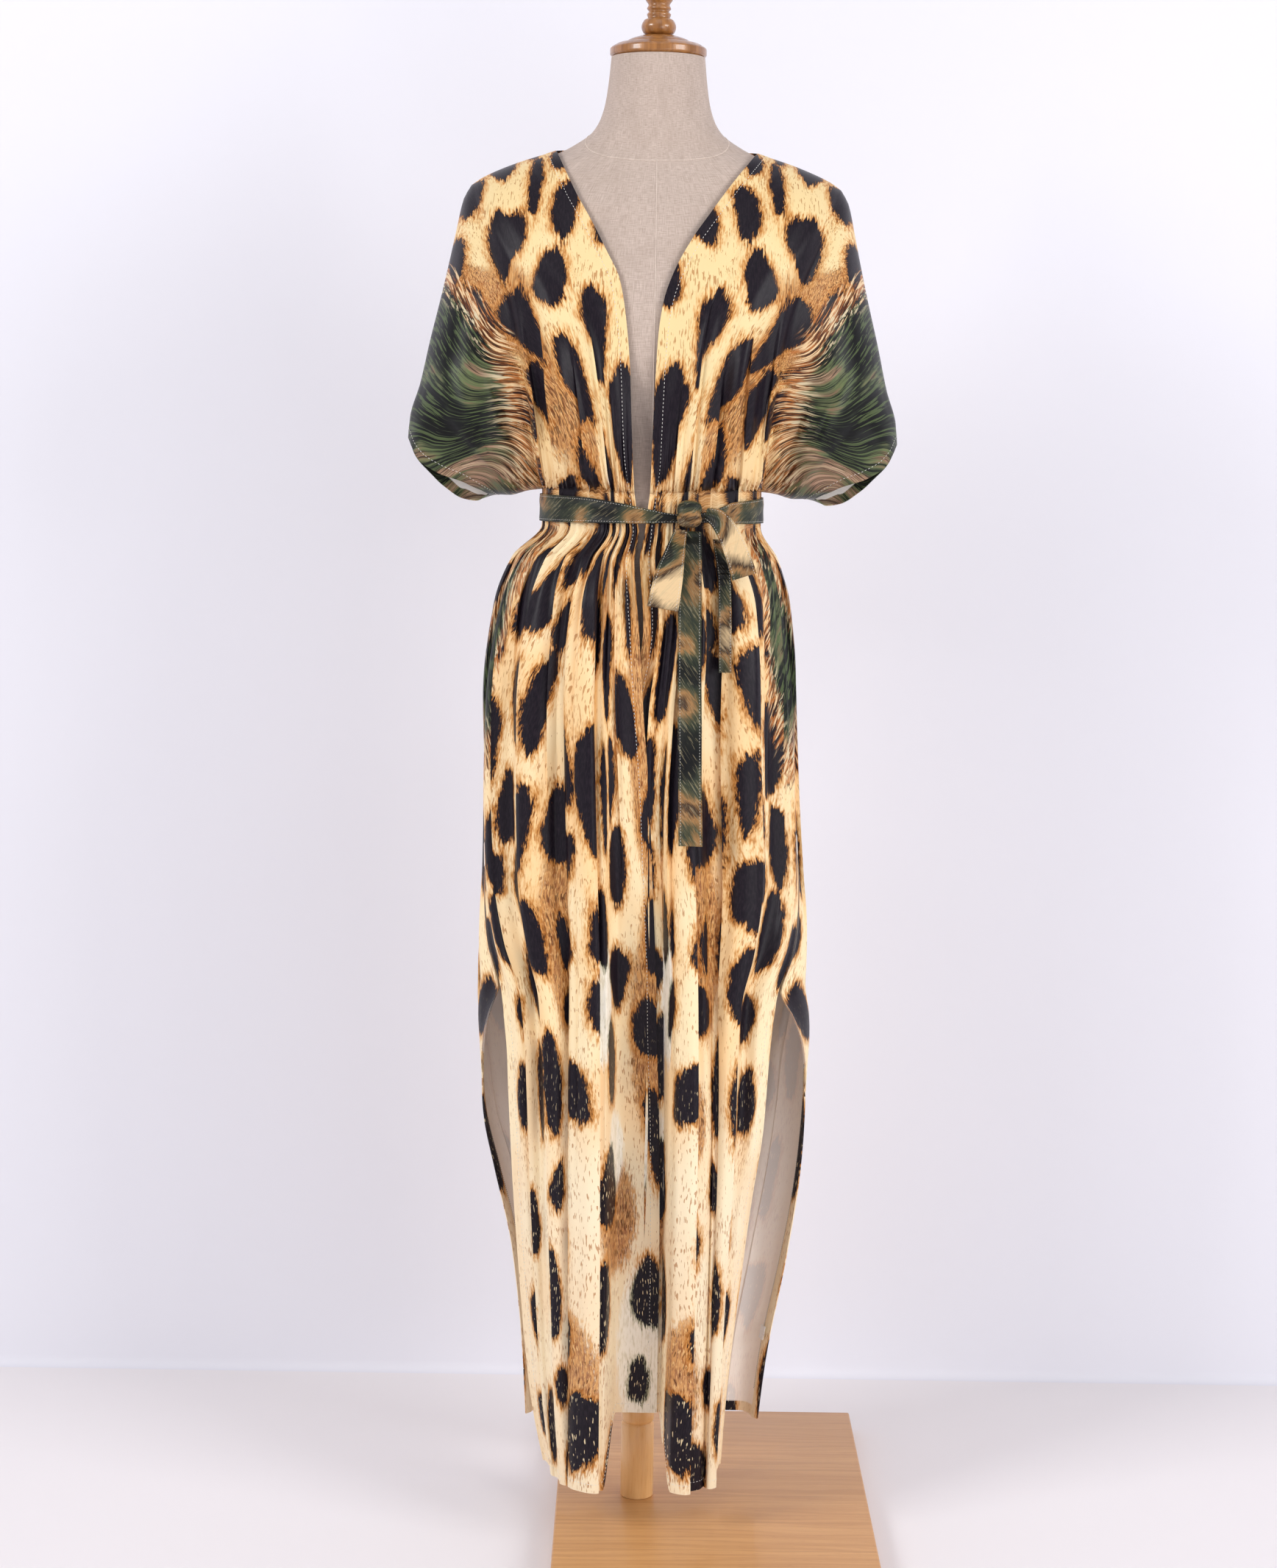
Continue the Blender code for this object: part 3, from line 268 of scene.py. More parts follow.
# the dress form
torsoPlan = {
    "height": [0.760, 0.768, 0.820, 0.880, 0.950, 1.030, 1.100, 1.150, 1.210, 1.270, 1.330, 1.380, 1.410,
               1.427, 1.4382, 1.4544, 1.4670, 1.476, 1.489, 1.503, 1.520, 1.545, 1.566],
    "halfWidth": [0.138, 0.141, 0.143, 0.144, 0.138, 0.120, 0.107, 0.112, 0.127, 0.142, 0.152, 0.163,
                  0.174, 0.1805, 0.1790, 0.1440, 0.1040, 0.0860, 0.0675, 0.0590, 0.0540, 0.0505, 0.0485],
    "front": [0.091, 0.094, 0.098, 0.102, 0.100, 0.092, 0.086, 0.091, 0.103, 0.113, 0.105, 0.091, 0.080,
              0.071, 0.065, 0.056, 0.051, 0.049, 0.048, 0.047, 0.047, 0.048, 0.048],
    "back": [0.098, 0.101, 0.106, 0.109, 0.105, 0.091, 0.079, 0.081, 0.088, 0.092, 0.094, 0.091, 0.079,
             0.071, 0.063, 0.056, 0.052, 0.051, 0.053, 0.051, 0.050, 0.050, 0.049],
    "pinch": [1.0, 1.0, 1.0, 1.0, 1.0, 1.0, 1.0, 1.0, 1.0, 1.0, 1.0, 1.0, 1.0, 1.25, 1.45, 1.6, 1.6, 1.3,
              1.0, 1.0, 1.0, 1.0, 1.0],
}


def planAt(table, name, height):
    return curve(table["height"], table[name], height)


def formDepth(across, height, front):
    # how far the dress form reaches in front of or behind the middle plane
    inside = np.maximum(1 - (across / planAt(torsoPlan, "halfWidth", height)) ** 2, 0.0)
    deep = planAt(torsoPlan, "front" if front else "back", height)
    return deep * inside ** (planAt(torsoPlan, "pinch", height) / 2) * (inside > 0)


seamShift = 0.06        # degrees between the two sides of a seam that isn't at the middle plane


def columnAngle(piece, part, height):
    if piece == "back":
        left, right = planAt(edges, "backLeft", height), planAt(edges, "backRight", height)
        left = np.where(height >= slitTop, 180 - seamShift - planAt(edges, "leftSide", height), left)
        right = np.where(height >= slitTop, -180 + seamShift - planAt(edges, "rightSide", height), right)
        return np.abs(part) * np.where(part > 0, left, right)
    hand = "right" if piece == "front_right" else "left"
    start, side = planAt(edges, hand + "Front", height), planAt(edges, hand + "Side", height)
    pleat = np.copysign(np.minimum(coat["pleatAngle"], np.abs(side) - 6.0), side)
    share = coat["pleatPart"]
    return np.where(part < share, start + (pleat - start) * part / share,
                    pleat + (side - pleat) * (part - share) / (1 - share))


def sideAngle(piece, height):
    return planAt(edges, "rightSide" if piece == "front_right" else "leftSide", height)


def recess(angle, height):
    # how far the fronts fold in between their two middle pleats
    sharp = ease((0.90 - height) / 0.30)
    left = ease((angle + 15.0 - 2.0 * sharp) / (9.0 - 4.5 * sharp))
    right = ease((14.5 - 2.0 * sharp - angle) / (8.0 - 3.5 * sharp))
    return left * right * ease((0.95 - height) / 0.50)


def foldDepth(piece, part, height):
    total = 0.0
    for place, halfWidth, depth, full in skirtFolds[piece]:
        rise = ease((coat["beltLow"] - height) / (coat["beltLow"] - full))
        total = total + depth * rise * bump(part - place, halfWidth)
    room = 1.0
    if piece != "back":
        spread = ease((np.abs(sideAngle(piece, height)) - coat["pleatAngle"]) / 50.0) * 0.8 + 0.2
        room = np.where(part > coat["pleatPart"], spread, 1.0)
    return total * room * ease((1.0 - np.abs(part)) / 0.10)


def skirtPoint(piece, part, height):
    part, height = np.broadcast_arrays(np.asarray(part, float), np.asarray(height, float))
    angle = columnAngle(piece, part, height)
    turn = np.radians(angle)
    front = piece != "back"
    way = -1.0 if front else 1.0
    halfWidth = planAt(skirtPlan, "halfWidth", height)
    deep = planAt(skirtPlan, "front" if front else "back", height)
    if not front:
        deep = np.where(np.cos(turn) < 0, planAt(skirtPlan, "front", height), deep)
    x = planAt(skirtPlan, "centre", height) + halfWidth * np.sin(turn)
    y = way * deep * np.cos(turn)
    outX, outY = deep * np.sin(turn), way * halfWidth * np.cos(turn)
    length = np.hypot(outX, outY)
    push = foldDepth(piece, part, height)
    if front:
        spare = (coat["tuckFrom"] - np.abs(sideAngle(piece, height))) / coat["tuckSpan"]
        y = y + coat["recessDepth"] * recess(angle, height)
        y = y + coat["tuckDepth"] * ease(spare) * ease((part - 0.52) / 0.48) * ease((0.50 - height) / 0.16)
        under = ease((1.00 - height) / 0.05)
        if piece == "front_right":
            push = push + coat["overlap"] * under * ease((angle + 17.0) / 8.0)
        else:
            push = push - coat["overlap"] * under * ease((15.0 - angle) / 8.0)
    return np.stack([x + outX / length * push, y + outY / length * push, height], axis=-1)


def hemHeight(piece, part):
    angle = columnAngle(piece, part, np.full_like(part, coat["hemFront"]))
    if piece == "back":
        return coat["hemBack"] + coat["hemSwing"] * np.cos(np.radians(2 * angle))
    lifted = coat["recessLift"] * recess(angle, coat["hemFront"])
    return coat["hemFront"] + lifted + coat["hemSideLift"] * ease((part - 0.75) / 0.25)


def upperOutline(piece, side, column, fall):
    # place seen from the front, between the four edges of the upper piece
    def top(u):
        shoulder, sleeve = along(shoulderSeam, np.clip(u, 0, 1)), along(sleeveTop, np.clip(u - 1, 0, 1))
        return [np.where(u <= 1, a, b) for a, b in zip(shoulder, sleeve)]

    def low(u):
        out = along(underarm, np.clip(u - 1, 0, 1))
        body = np.clip(u, 0, 1)
        place = skirtPoint(piece, side * body if piece == "back" else body, coat["beltTop"])
        rise = coat["beltTop"] + (underarm[0][1] - coat["beltTop"]) * body
        return [np.where(u > 1, out[0], side * place[..., 0]), np.where(u > 1, out[1], rise)]

    def inner(f):
        if piece == "back":
            return [np.zeros_like(f), 1.4700 + (coat["beltTop"] - 1.4700) * f]
        edge = along(edgeRight if side < 0 else edgeLeft, f)
        return [side * edge[0], edge[1]]

    def outer(f):
        return along(cuffBack if piece == "back" else cuffFront, f)

    def neckTop(u):
        if piece != "back":
            return top(u)
        neck = shoulderSeam[0][0]
        whole = (neck + 0.098) * np.clip(u, 0, 1)
        seam = along(shoulderSeam, np.clip((whole - neck) / 0.098, 0, 1))
        body = [np.where(whole < neck, whole, seam[0]), np.where(whole < neck, 1.4700, seam[1])]
        return [np.where(u <= 1, a, b) for a, b in zip(body, top(u))]

    s = column / 2
    topEdge, lowEdge = neckTop(column), low(column)
    innerEdge, outerEdge = inner(fall), outer(fall)
    zero, one = np.zeros(1), np.ones(1)
    place = []
    for c in range(2):
        ruled = (1 - fall) * topEdge[c] + fall * lowEdge[c]
        crossed = (1 - s) * innerEdge[c] + s * outerEdge[c]
        corners = ((1 - s) * ((1 - fall) * inner(zero)[c][0] + fall * inner(one)[c][0])
                   + s * ((1 - fall) * outer(zero)[c][0] + fall * outer(one)[c][0]))
        place.append(ruled + crossed - corners)
    return place


def upperPoint(piece, side, column, fall):
    front = piece != "back"
    way = -1.0 if front else 1.0
    across, height = upperOutline(piece, side, column, fall)
    neckEdge = shoulderSeam[0][0]
    puff = curve(puffs["column"], puffs["front" if front else "back"], column)
    body = np.clip(column, 0, 1)
    belt = np.abs(skirtPoint(piece, side * body if piece == "back" else body, coat["beltTop"])[..., 1])
    belt = np.where(column < 1, belt, 0.0)
    neck = np.zeros_like(across)
    lifted = height
    if not front:
        neck = np.where(across < neckEdge, coat["neckDepth"] * (1 - (across / neckEdge) ** 2), 0.0)
        lifted = height + coat["neckRise"] * (neck / coat["neckDepth"]) * (1 - ease(fall / 0.2))
    neck = neck * (1 - fall)
    depth = neck + (belt - neck * (belt > 0)) * np.sqrt(1 - (1 - fall) ** 2)
    depth = depth + puff * np.where(neck == 0, np.sqrt(4 * fall * (1 - fall)), np.sin(np.pi * fall))
    creases = 0.0
    for top, low, halfWidth, deep, middle in upperFolds[piece]:
        middleLine = top + (low - top) * fall
        creases = creases + deep * bump(column - middleLine, halfWidth) * bump(fall - middle, 0.5)
    depth = depth + creases * ease(np.minimum(fall, 1 - fall) / 0.22)
    sewn = (fall == 0) & (front | (across >= neckEdge - 1e-5))
    need = formDepth(across, height, front)
    spare = coat["clear"] + np.where(height > 1.38, coat["shoulderSpare"], 0.0)
    held = larger(depth, need + coat["packedWall"] + spare, 0.004)
    depth = np.where((~sewn) & (fall < 1) & (need > 0), held, depth)
    return np.stack([side * across, way * (depth + coat["seamGap"] / 2), lifted], axis=-1), need


def gridQuads(index, turned=False):
    # quads of a grid of point numbers; turned ones run the other way round
    quads = np.stack([index[:-1, :-1], index[1:, :-1], index[1:, 1:], index[:-1, 1:]], axis=-1).reshape(-1, 4)
    return quads[:, [0, 3, 2, 1]] if turned else quads


def ringFaces(rows, turns):
    # faces of a body of closed rings, one above the other, with a flat end on the first and the last
    index = np.arange(rows * turns).reshape(rows, turns)
    quads = gridQuads(np.concatenate([index, index[:, :1]], axis=1), True)
    return quads.tolist() + [tuple(index[0, ::-1]), tuple(index[-1])]


def arcLength(path):
    return np.concatenate(([0.0], np.cumsum(np.linalg.norm(np.diff(path, axis=0), axis=1))))


def placeAt(path, arc, at):
    # a path's place, or its normal, at a distance along it
    return np.stack([np.interp(at, arc, path[:, k]) for k in range(3)], axis=-1)


def gridNormals(points):
    # unit normals of a grid of points, rows down and columns across
    down, across = np.gradient(points, axis=0), np.gradient(points, axis=1)
    normal = np.cross(down, across)
    return normal / np.maximum(np.linalg.norm(normal, axis=-1, keepdims=True), 1e-12)


def gatherDepth(piece, part, height):
    # fine gathers that the belt draws in, deepest at the belt, each with its own reach
    dice = np.random.default_rng(gathers["seed"][piece])
    total = np.zeros(np.broadcast(part, height).shape)
    place = -1.0 if piece == "back" else 0.0
    while place < 1.0:
        place += gathers["pitch"] + dice.uniform(-gathers["uneven"], gathers["uneven"])
        depth = dice.uniform(*gathers["depth"])
        below, above = dice.uniform(*gathers["below"]), dice.uniform(*gathers["above"])
        drift = dice.uniform(*gathers["drift"])
        away = np.where(height < coat["beltLow"], (coat["beltLow"] - height) / below,
                        np.maximum(height - coat["beltTop"], 0) / above)
        lean = drift * (coat["beltLow"] - height)
        total += depth * (1 - ease(away)) * bump(part - place - lean, gathers["halfWidth"])
    return total


def skirtCreaseDepth(piece, part, height):
    total = 0.0
    for place, halfWidth, depth, lowEnd in skirtCreases[piece]:
        fade = ease((height - lowEnd) / 0.16) * (0.45 + 0.55 * ease((coat["beltLow"] - height) / 0.05))
        total = total + depth * fade * pinch(part - place, halfWidth)
    return total


# knife pleats of the upper coat: column, step, hidden width, share of the way down where it starts, side
upperPleats = {
    "front_right": [(0.250, 0.0026, 0.012, 0.60, 1), (0.400, 0.0040, 0.020, 0.34, -1),
                    (0.565, 0.0034, 0.018, 0.52, 1), (0.735, 0.0042, 0.022, 0.42, 1),
                    (0.880, 0.0034, 0.016, 0.58, -1)],
    "front_left": [(0.230, 0.0028, 0.012, 0.62, -1), (0.380, 0.0040, 0.022, 0.38, 1),
                   (0.545, 0.0034, 0.016, 0.56, 1), (0.700, 0.0042, 0.022, 0.44, -1),
                   (0.860, 0.0034, 0.018, 0.54, 1)],
    "back": [(0.115, 0.0036, 0.018, 0.50, 1), (0.300, 0.0040, 0.020, 0.42, -1),
             (0.480, 0.0032, 0.016, 0.60, 1), (0.650, 0.0040, 0.020, 0.46, 1),
             (0.830, 0.0034, 0.016, 0.56, -1)],
}


# a pleat's lip: how far the rise and the dip reach, the dip's share, shares of the sideways reach,
# and the pleats that keep a soft fold below their lower ends
pleatShape = {"rise": 0.095, "dip": 0.040, "dipShare": 0.35, "beside": 0.40, "over": 0.95, "under": 0.35,
              "deepEnd": 0.6, "kept": 0.30, "fade": 0.14, "upperFade": 0.30}


def lipShape(away):
    # the upper layer rises to its lip and the lower one dips under it
    dip = -pleatShape["dipShare"] * np.exp(away / pleatShape["dip"])
    return np.where(away > 0, np.exp(-away / pleatShape["rise"]), dip)


def panelColumns(piece):
    return coat["backColumns" if piece == "back" else "bodyColumns"]


def upperSteps(piece, column, fall):
    columns = panelColumns(piece)
    rise, hidden = np.zeros(column.shape), np.zeros(column.shape)
    for place, step, width, start, side in upperPleats[piece]:
        line = (np.round(place * columns) + 0.5) / columns
        opening = ease((fall - start) / pleatShape["upperFade"])
        rise = rise + step * opening * ease((1 - fall) / 0.05) * lipShape((line - column) * side)
        hidden = hidden + width * opening * (column > line)
    return rise, hidden


def pleatOpening(height, lowEnd):
    # pleats that end low keep a soft fold down to the hem
    kept = 1.0 if lowEnd == 0 else pleatShape["kept"] if lowEnd < pleatShape["deepEnd"] else 0.0
    return kept + (1 - kept) * ease((height - lowEnd) / pleatShape["fade"])


def pleatSteps(piece, part, height):
    # rise of the lip beside each pleat's line, and the cloth hidden up to each column
    columns = panelColumns(piece)
    rise, hidden = np.zeros(part.shape), np.zeros(part.shape)
    nearBelt = (1.15 + 0.25 * ease((height - 0.86) / 0.12)) * ease((coat["beltLow"] - height) / 0.080)
    for place, step, width, lowEnd, side in skirtPleats[piece]:
        line = (np.round(place * columns) + 0.5) / columns
        drawn = 1.0
        if lowEnd >= pleatShape["deepEnd"]:
            drawn = np.clip((height - lowEnd) / (coat["beltLow"] - lowEnd), 0, 1)
        rise = rise + step * pleatOpening(height, lowEnd) * nearBelt * lipShape((line - part) * side)
        hidden = hidden + width * drawn * (part > line)
    return rise, hidden


def lapOver(points, columns, place, side, opening, first=0):
    # the lip's column reaches sideways over the layer under it, so that no step faces outwards
    at = int(np.round(place * columns)) + first
    way = (points[:, at + 3] - points[:, at - 2]) / 5 * side * opening[:, None]
    lip, under = (at, at + 1) if side > 0 else (at + 1, at)
    points[:, lip - side] += pleatShape["beside"] * way
    points[:, lip] += pleatShape["over"] * way
    points[:, under] -= pleatShape["under"] * way


def ripple(a, b, seed, waves=7):
    # slow uneven waves, so that no stretch of cloth is quite plain
    dice = np.random.default_rng(seed)
    total = 0.0
    for _ in range(waves):
        fa, fb, start = dice.uniform(3, 16), dice.uniform(2, 9), dice.uniform(0, 2 * np.pi)
        total = total + np.sin(fa * a + fb * b + start) / waves
    return total


# print: spots drawn as ovals of uneven outline, in the flat cloth's own metres, mirrored left and right

spots = {
    "height": [0.05, 0.30, 0.50, 0.64, 0.76, 0.90, 1.00, 1.08, 1.19, 1.29, 1.37, 1.45, 1.56],
    "halfAcross": [0.0190, 0.0195, 0.0185, 0.0150, 0.0145, 0.0155, 0.0140, 0.0130, 0.0140, 0.0150, 0.0165,
                   0.0110, 0.0100],
    "halfDown": [0.040, 0.040, 0.036, 0.032, 0.040, 0.052, 0.046, 0.042, 0.050, 0.042, 0.032, 0.034,
                 0.030],
    "gap": [0.036, 0.034, 0.026, 0.015, 0.012, 0.012, 0.0105, 0.0100, 0.0090, 0.0090, 0.0090, 0.0090,
            0.0090],
    "size": (0.55, 1.15),
    # corners of each stretch of cloth and the number of tries in it
    "areas": [((-0.01, 0.02), (0.36, 1.60), 9000), ((0.33, 0.02), (0.54, 1.08), 3500)],
}
# a few large spots, listed one by one: across, down, half width, half height
largeSpots = [(0.020, 1.195, 0.0205, 0.062), (0.062, 1.290, 0.0160, 0.048), (0.128, 0.815, 0.0205, 0.074),
              (0.072, 0.945, 0.0165, 0.056), (0.200, 0.960, 0.0140, 0.050)]
# soft patches: across, down, half width, half height
printPatches = {
    "rust": [(0.000, 0.86, 0.024, 0.16), (0.000, 0.56, 0.034, 0.13), (0.060, 0.36, 0.036, 0.07),
             (0.165, 0.18, 0.045, 0.09), (0.150, 1.27, 0.026, 0.110), (0.195, 1.355, 0.070, 0.036),
             (0.118, 1.20, 0.016, 0.070), (0.215, 0.66, 0.024, 0.11), (0.185, 0.47, 0.026, 0.06),
             (0.105, 1.02, 0.020, 0.05)],
    "pale": [(0.098, 0.600, 0.032, 0.080), (0.018, 0.210, 0.034, 0.10), (0.060, 0.430, 0.020, 0.050)],
    "dusk": [(0.385, 0.960, 0.034, 0.120)],
}
# the sleeves turn to black and dark green: height, distance from the middle where that starts
sleeveDusk = {"height": [1.10, 1.16, 1.22, 1.27, 1.32, 1.36, 1.40],
              "across": [0.128, 0.142, 0.150, 0.166, 0.204, 0.250, 0.340], "soft": 0.060}
# width of a half panel's print at the waist, and how much wider it lies in the skirt
clothWidth = {"front": 0.155, "back": 0.165}
skirtSpread = 1.16


def patch(u, v, rows):
    total = np.zeros_like(u)
    for across, down, halfWidth, halfHeight in rows:
        away = np.hypot((u - across) / halfWidth, (v - down) / halfHeight)
        total = np.maximum(total, ease(1.35 - away * 0.9))
    return total


def spotPlaces(seed):
    # uneven spots with room between them, each with its own size, lean, taper and outline
    dice = np.random.default_rng(seed)
    places = [(u, v, a, b, 0.04, 0.15, 0.4) for u, v, a, b in largeSpots]
    low, high = spots["size"]
    for corner, farCorner, count in spots["areas"]:
        tries = dice.uniform(corner, farCorner, (count, 2))
        shapes = dice.uniform(size=(count, 5))
        halfA, halfD, gap = (planAt(spots, name, tries[:, 1]) for name in ("halfAcross", "halfDown", "gap"))
        for k, (u, v) in enumerate(tries):
            # large ones are tried first, smaller ones fill the rooms that are left
            most = high if k < 0.35 * count else low + 0.5 * (high - low)
            size = most - (high - low) * 0.5 * shapes[k, 0]
            slim = 0.84 + 0.30 * shapes[k, 1] if shapes[k, 4] < 0.8 else 0.64
            a, b = halfA[k] * size * slim, halfD[k] * size / slim ** 0.6
            here = np.array([place[:4] for place in places])
            apart = np.hypot((here[:, 0] - u) / (here[:, 2] + a + gap[k]),
                             (here[:, 1] - v) / (here[:, 3] + b + gap[k]))
            if apart.min() >= 1.0:
                places.append((u, v, a, b, 0.20 * shapes[k, 2] - 0.10, 0.7 * shapes[k, 3] - 0.35,
                               6.28 * shapes[k, 4]))
    return places


def spotField(u, v, seed):
    # distance to the nearest spot's edge, below zero inside, and how nearly that edge lies across the hair
    field, ends = np.full(u.shape, 0.05), np.full(u.shape, 0.5)
    for cu, cv, a, b, lean, taper, wave in spotPlaces(seed):
        near = (np.abs(u - cu) < a + 0.05) & (np.abs(v - cv) < b + 0.05)
        if not near.any():
            continue
        du, dv = u[near] - cu - lean * (v[near] - cv), v[near] - cv
        au = a * (1 + taper * np.clip(dv / b, -1.2, 1.2))
        k0 = np.hypot(du / au, dv / b)
        k1 = np.maximum(np.hypot(du / au ** 2, dv / b ** 2), 1e-6)
        turn = np.arctan2(dv / b, du / au)
        rim = (1 + 0.09 * np.sin(2 * turn + wave) + 0.07 * np.sin(3 * turn + 2 * wave)
               + 0.04 * np.sin(5 * turn + wave))
        distance = (k0 - rim) * np.maximum(k0, 0.35) / np.maximum(k1, 0.35 / max(a, b))
        closer = distance < field[near]
        index = np.flatnonzero(near)[closer]
        field.flat[index] = distance[closer]
        ends.flat[index] = (np.abs(dv / b ** 2) / k1)[closer]
    return field, ends


def newMesh(name, points, faces, materials, materialIndex=None, smoothAngle=None):
    mesh = bpy.data.meshes.new(name)
    mesh.from_pydata(np.asarray(points).tolist(), [], [tuple(int(i) for i in face) for face in faces])
    for material in materials:
        mesh.materials.append(material)
    if materialIndex is not None:
        mesh.polygons.foreach_set("material_index", np.asarray(materialIndex, dtype=np.int32))
    mesh.shade_smooth()
    if smoothAngle is not None:
        mesh.set_sharp_from_angle(angle=math.radians(smoothAngle))
    mesh.update()
    piece = bpy.data.objects.new(name, mesh)
    bpy.context.scene.collection.objects.link(piece)
    return piece


def setValues(piece, name, values, kind="FLOAT"):
    layer = piece.data.attributes.new(name, kind, "POINT")
    values = np.asarray(values, dtype=np.float32)
    layer.data.foreach_set("value" if kind == "FLOAT" else "vector", values.ravel())


def pointNormals(points, faces):
    # area-weighted normals of quads, one for each point
    a, b, c, d = (points[faces[:, k]] for k in range(4))
    normal = np.cross(c - a, d - b)
    total = np.zeros_like(points)
    for k in range(4):
        np.add.at(total, faces[:, k], normal)
    return total / np.maximum(np.linalg.norm(total, axis=1, keepdims=True), 1e-12)


def clothShell(name, points, faces, materials, thickness, flat=None, outwards=None):
    # a closed thin wall under the given outer faces: material 0 outside and on the rims, 1 inside
    points, faces = np.asarray(points, float), np.asarray(faces, int)
    normals = pointNormals(points, faces)
    if outwards is not None and (normals * outwards(points)).sum() < 0:
        faces, normals = faces[:, ::-1], -normals
    if flat is not None:
        normals[flat, 1] = 0
        normals /= np.maximum(np.linalg.norm(normals, axis=1, keepdims=True), 1e-12)
    inner = points - normals * thickness
    count = len(points)
    diagonal = (np.linalg.norm(points[faces[:, 0]] - points[faces[:, 2]], axis=1)
                <= np.linalg.norm(points[faces[:, 1]] - points[faces[:, 3]], axis=1))
    first = np.where(diagonal[:, None], faces[:, [0, 1, 2]], faces[:, [0, 1, 3]])
    second = np.where(diagonal[:, None], faces[:, [0, 2, 3]], faces[:, [1, 2, 3]])
    outer = np.concatenate([first, second])
    ways = np.concatenate([faces[:, [k, (k + 1) % 4]] for k in range(4)])
    keys = ways[:, 0] * count + ways[:, 1]
    back = ways[:, 1] * count + ways[:, 0]
    rims = ways[~np.isin(keys, back)]
    rimFaces = np.stack([rims[:, 1], rims[:, 0], count + rims[:, 0], count + rims[:, 1]], axis=1)
    allFaces = outer.tolist() + (count + outer[:, ::-1]).tolist() + rimFaces.tolist()
    index = [0] * len(outer) + [1] * len(outer) + [0] * len(rimFaces)
    piece = newMesh(name, np.concatenate([points, inner]), allFaces, materials, index, 50)
    return piece, normals


def arcFrom(points, axis, fromEnd=False):
    # distance along the cloth from one edge of a grid
    if fromEnd:
        points = np.flip(points, axis)
    step = np.linalg.norm(np.diff(points, axis=axis), axis=-1)
    shape = list(points.shape[:2])
    shape[axis] = 1
    arc = np.concatenate([np.zeros(shape), np.cumsum(step, axis=axis)], axis=axis)
    return np.flip(arc, axis) if fromEnd else arc


def panelGrid(piece, side):
    # outer points of a panel from shoulder to belt and from belt to hem, with their cloth places
    rows = np.arange(coat["upperRows"] + 1)
    fall = (1 - np.cos(np.pi * rows / coat["upperRows"])) / 2
    last = panelColumns(piece)
    body = np.arange(last + 1) / last
    sleeve = 1 + np.arange(1, coat["sleeveColumns"] + 1) / coat["sleeveColumns"]
    column, fall = np.meshgrid(np.concatenate([body, sleeve]), fall)
    upper, need = upperPoint(piece, side, column, fall)
    normal = gridNormals(upper)
    if (normal[..., 1] * (-1 if piece != "back" else 1)).sum() < 0:
        normal = -normal
    creases = 0.0
    for top, low, halfWidth, depth, middle, reach in upperCreases[piece]:
        middleLine = top + (low - top) * fall
        creases = creases + depth * pinch(column - middleLine, halfWidth) * bump(fall - middle, reach)
    part = np.minimum(column, 1.0) * (side if piece == "back" else 1)
    tight = gatherDepth(piece, part, upper[..., 2]) * ease((1.04 - column) / 0.06)
    rise, hidden = upperSteps(piece, column, fall)
    trough = creases + tight + coat["upperUneven"] * (1 + ripple(column * 3, fall * 4, 5)) - rise
    room = np.clip((np.abs(upper[..., 1]) - need - coat["packedWall"] - 0.001) / 0.004, 0.0, 1.0)
    room = np.where(need > 0, room, 1.0)
    trough = trough * room * ease(fall / 0.06) * np.where(column > 0.98, ease((1 - fall) / 0.08), 1.0)
    upper = upper - normal * trough[..., None]
    for place, _, _, start, lapSide in upperPleats[piece]:
        lapOver(upper, last, place, lapSide, ease((fall[:, 0] - start) / pleatShape["upperFade"]))
    sewn = np.zeros(column.shape, bool)
    if piece == "back":
        sewn[0] = np.abs(upper[0, :, 0]) > shoulderSeam[0][0] - 0.001
    else:
        sewn[0] = True
    sewn[-1] = column[-1] >= 1 - 1e-9
    upper[..., 1] = np.where(sewn, np.sign(upper[..., 1]) * coat["seamGap"] / 2, upper[..., 1])
    # cloth places: height along the cloth, and across it
    step = np.linalg.norm(np.diff(upper, axis=0), axis=-1)
    arc = np.concatenate([np.cumsum(step[::-1], axis=0)[::-1], np.zeros((1, column.shape[1]))])
    down = coat["beltTop"] + arc
    offset = (down - upper[..., 2])[:, last:last + 1]
    down = np.where(column > 1, upper[..., 2] + offset * (2 - column), down)
    width = clothWidth["back" if piece == "back" else "front"]
    drawn = ease(1 - (upper[..., 2] - coat["beltTop"]) / coat["drawnIn"])
    seamAcross = np.abs(upper[..., 0])[:, last:last + 1]
    wide = np.where(column > 1, width + np.abs(upper[..., 0]) - seamAcross, np.minimum(column, 1) * width)
    across = np.abs(upper[..., 0]) * (1 - drawn) + wide * drawn + hidden
    depthPlace = np.abs(upper[..., 1]) * ease((column - 0.9) / 0.4)
    duskEdge = planAt(sleeveDusk, "across", upper[..., 2])
    dusk = np.clip((np.abs(upper[..., 0]) - duskEdge) / sleeveDusk["soft"] + 0.5, 0, 1)
    dusk = dusk * ease((column - 0.66) / 0.25)
    return {"points": upper, "sewn": sewn, "down": down, "across": across, "depth": depthPlace,
            "dusk": dusk, "body": body}


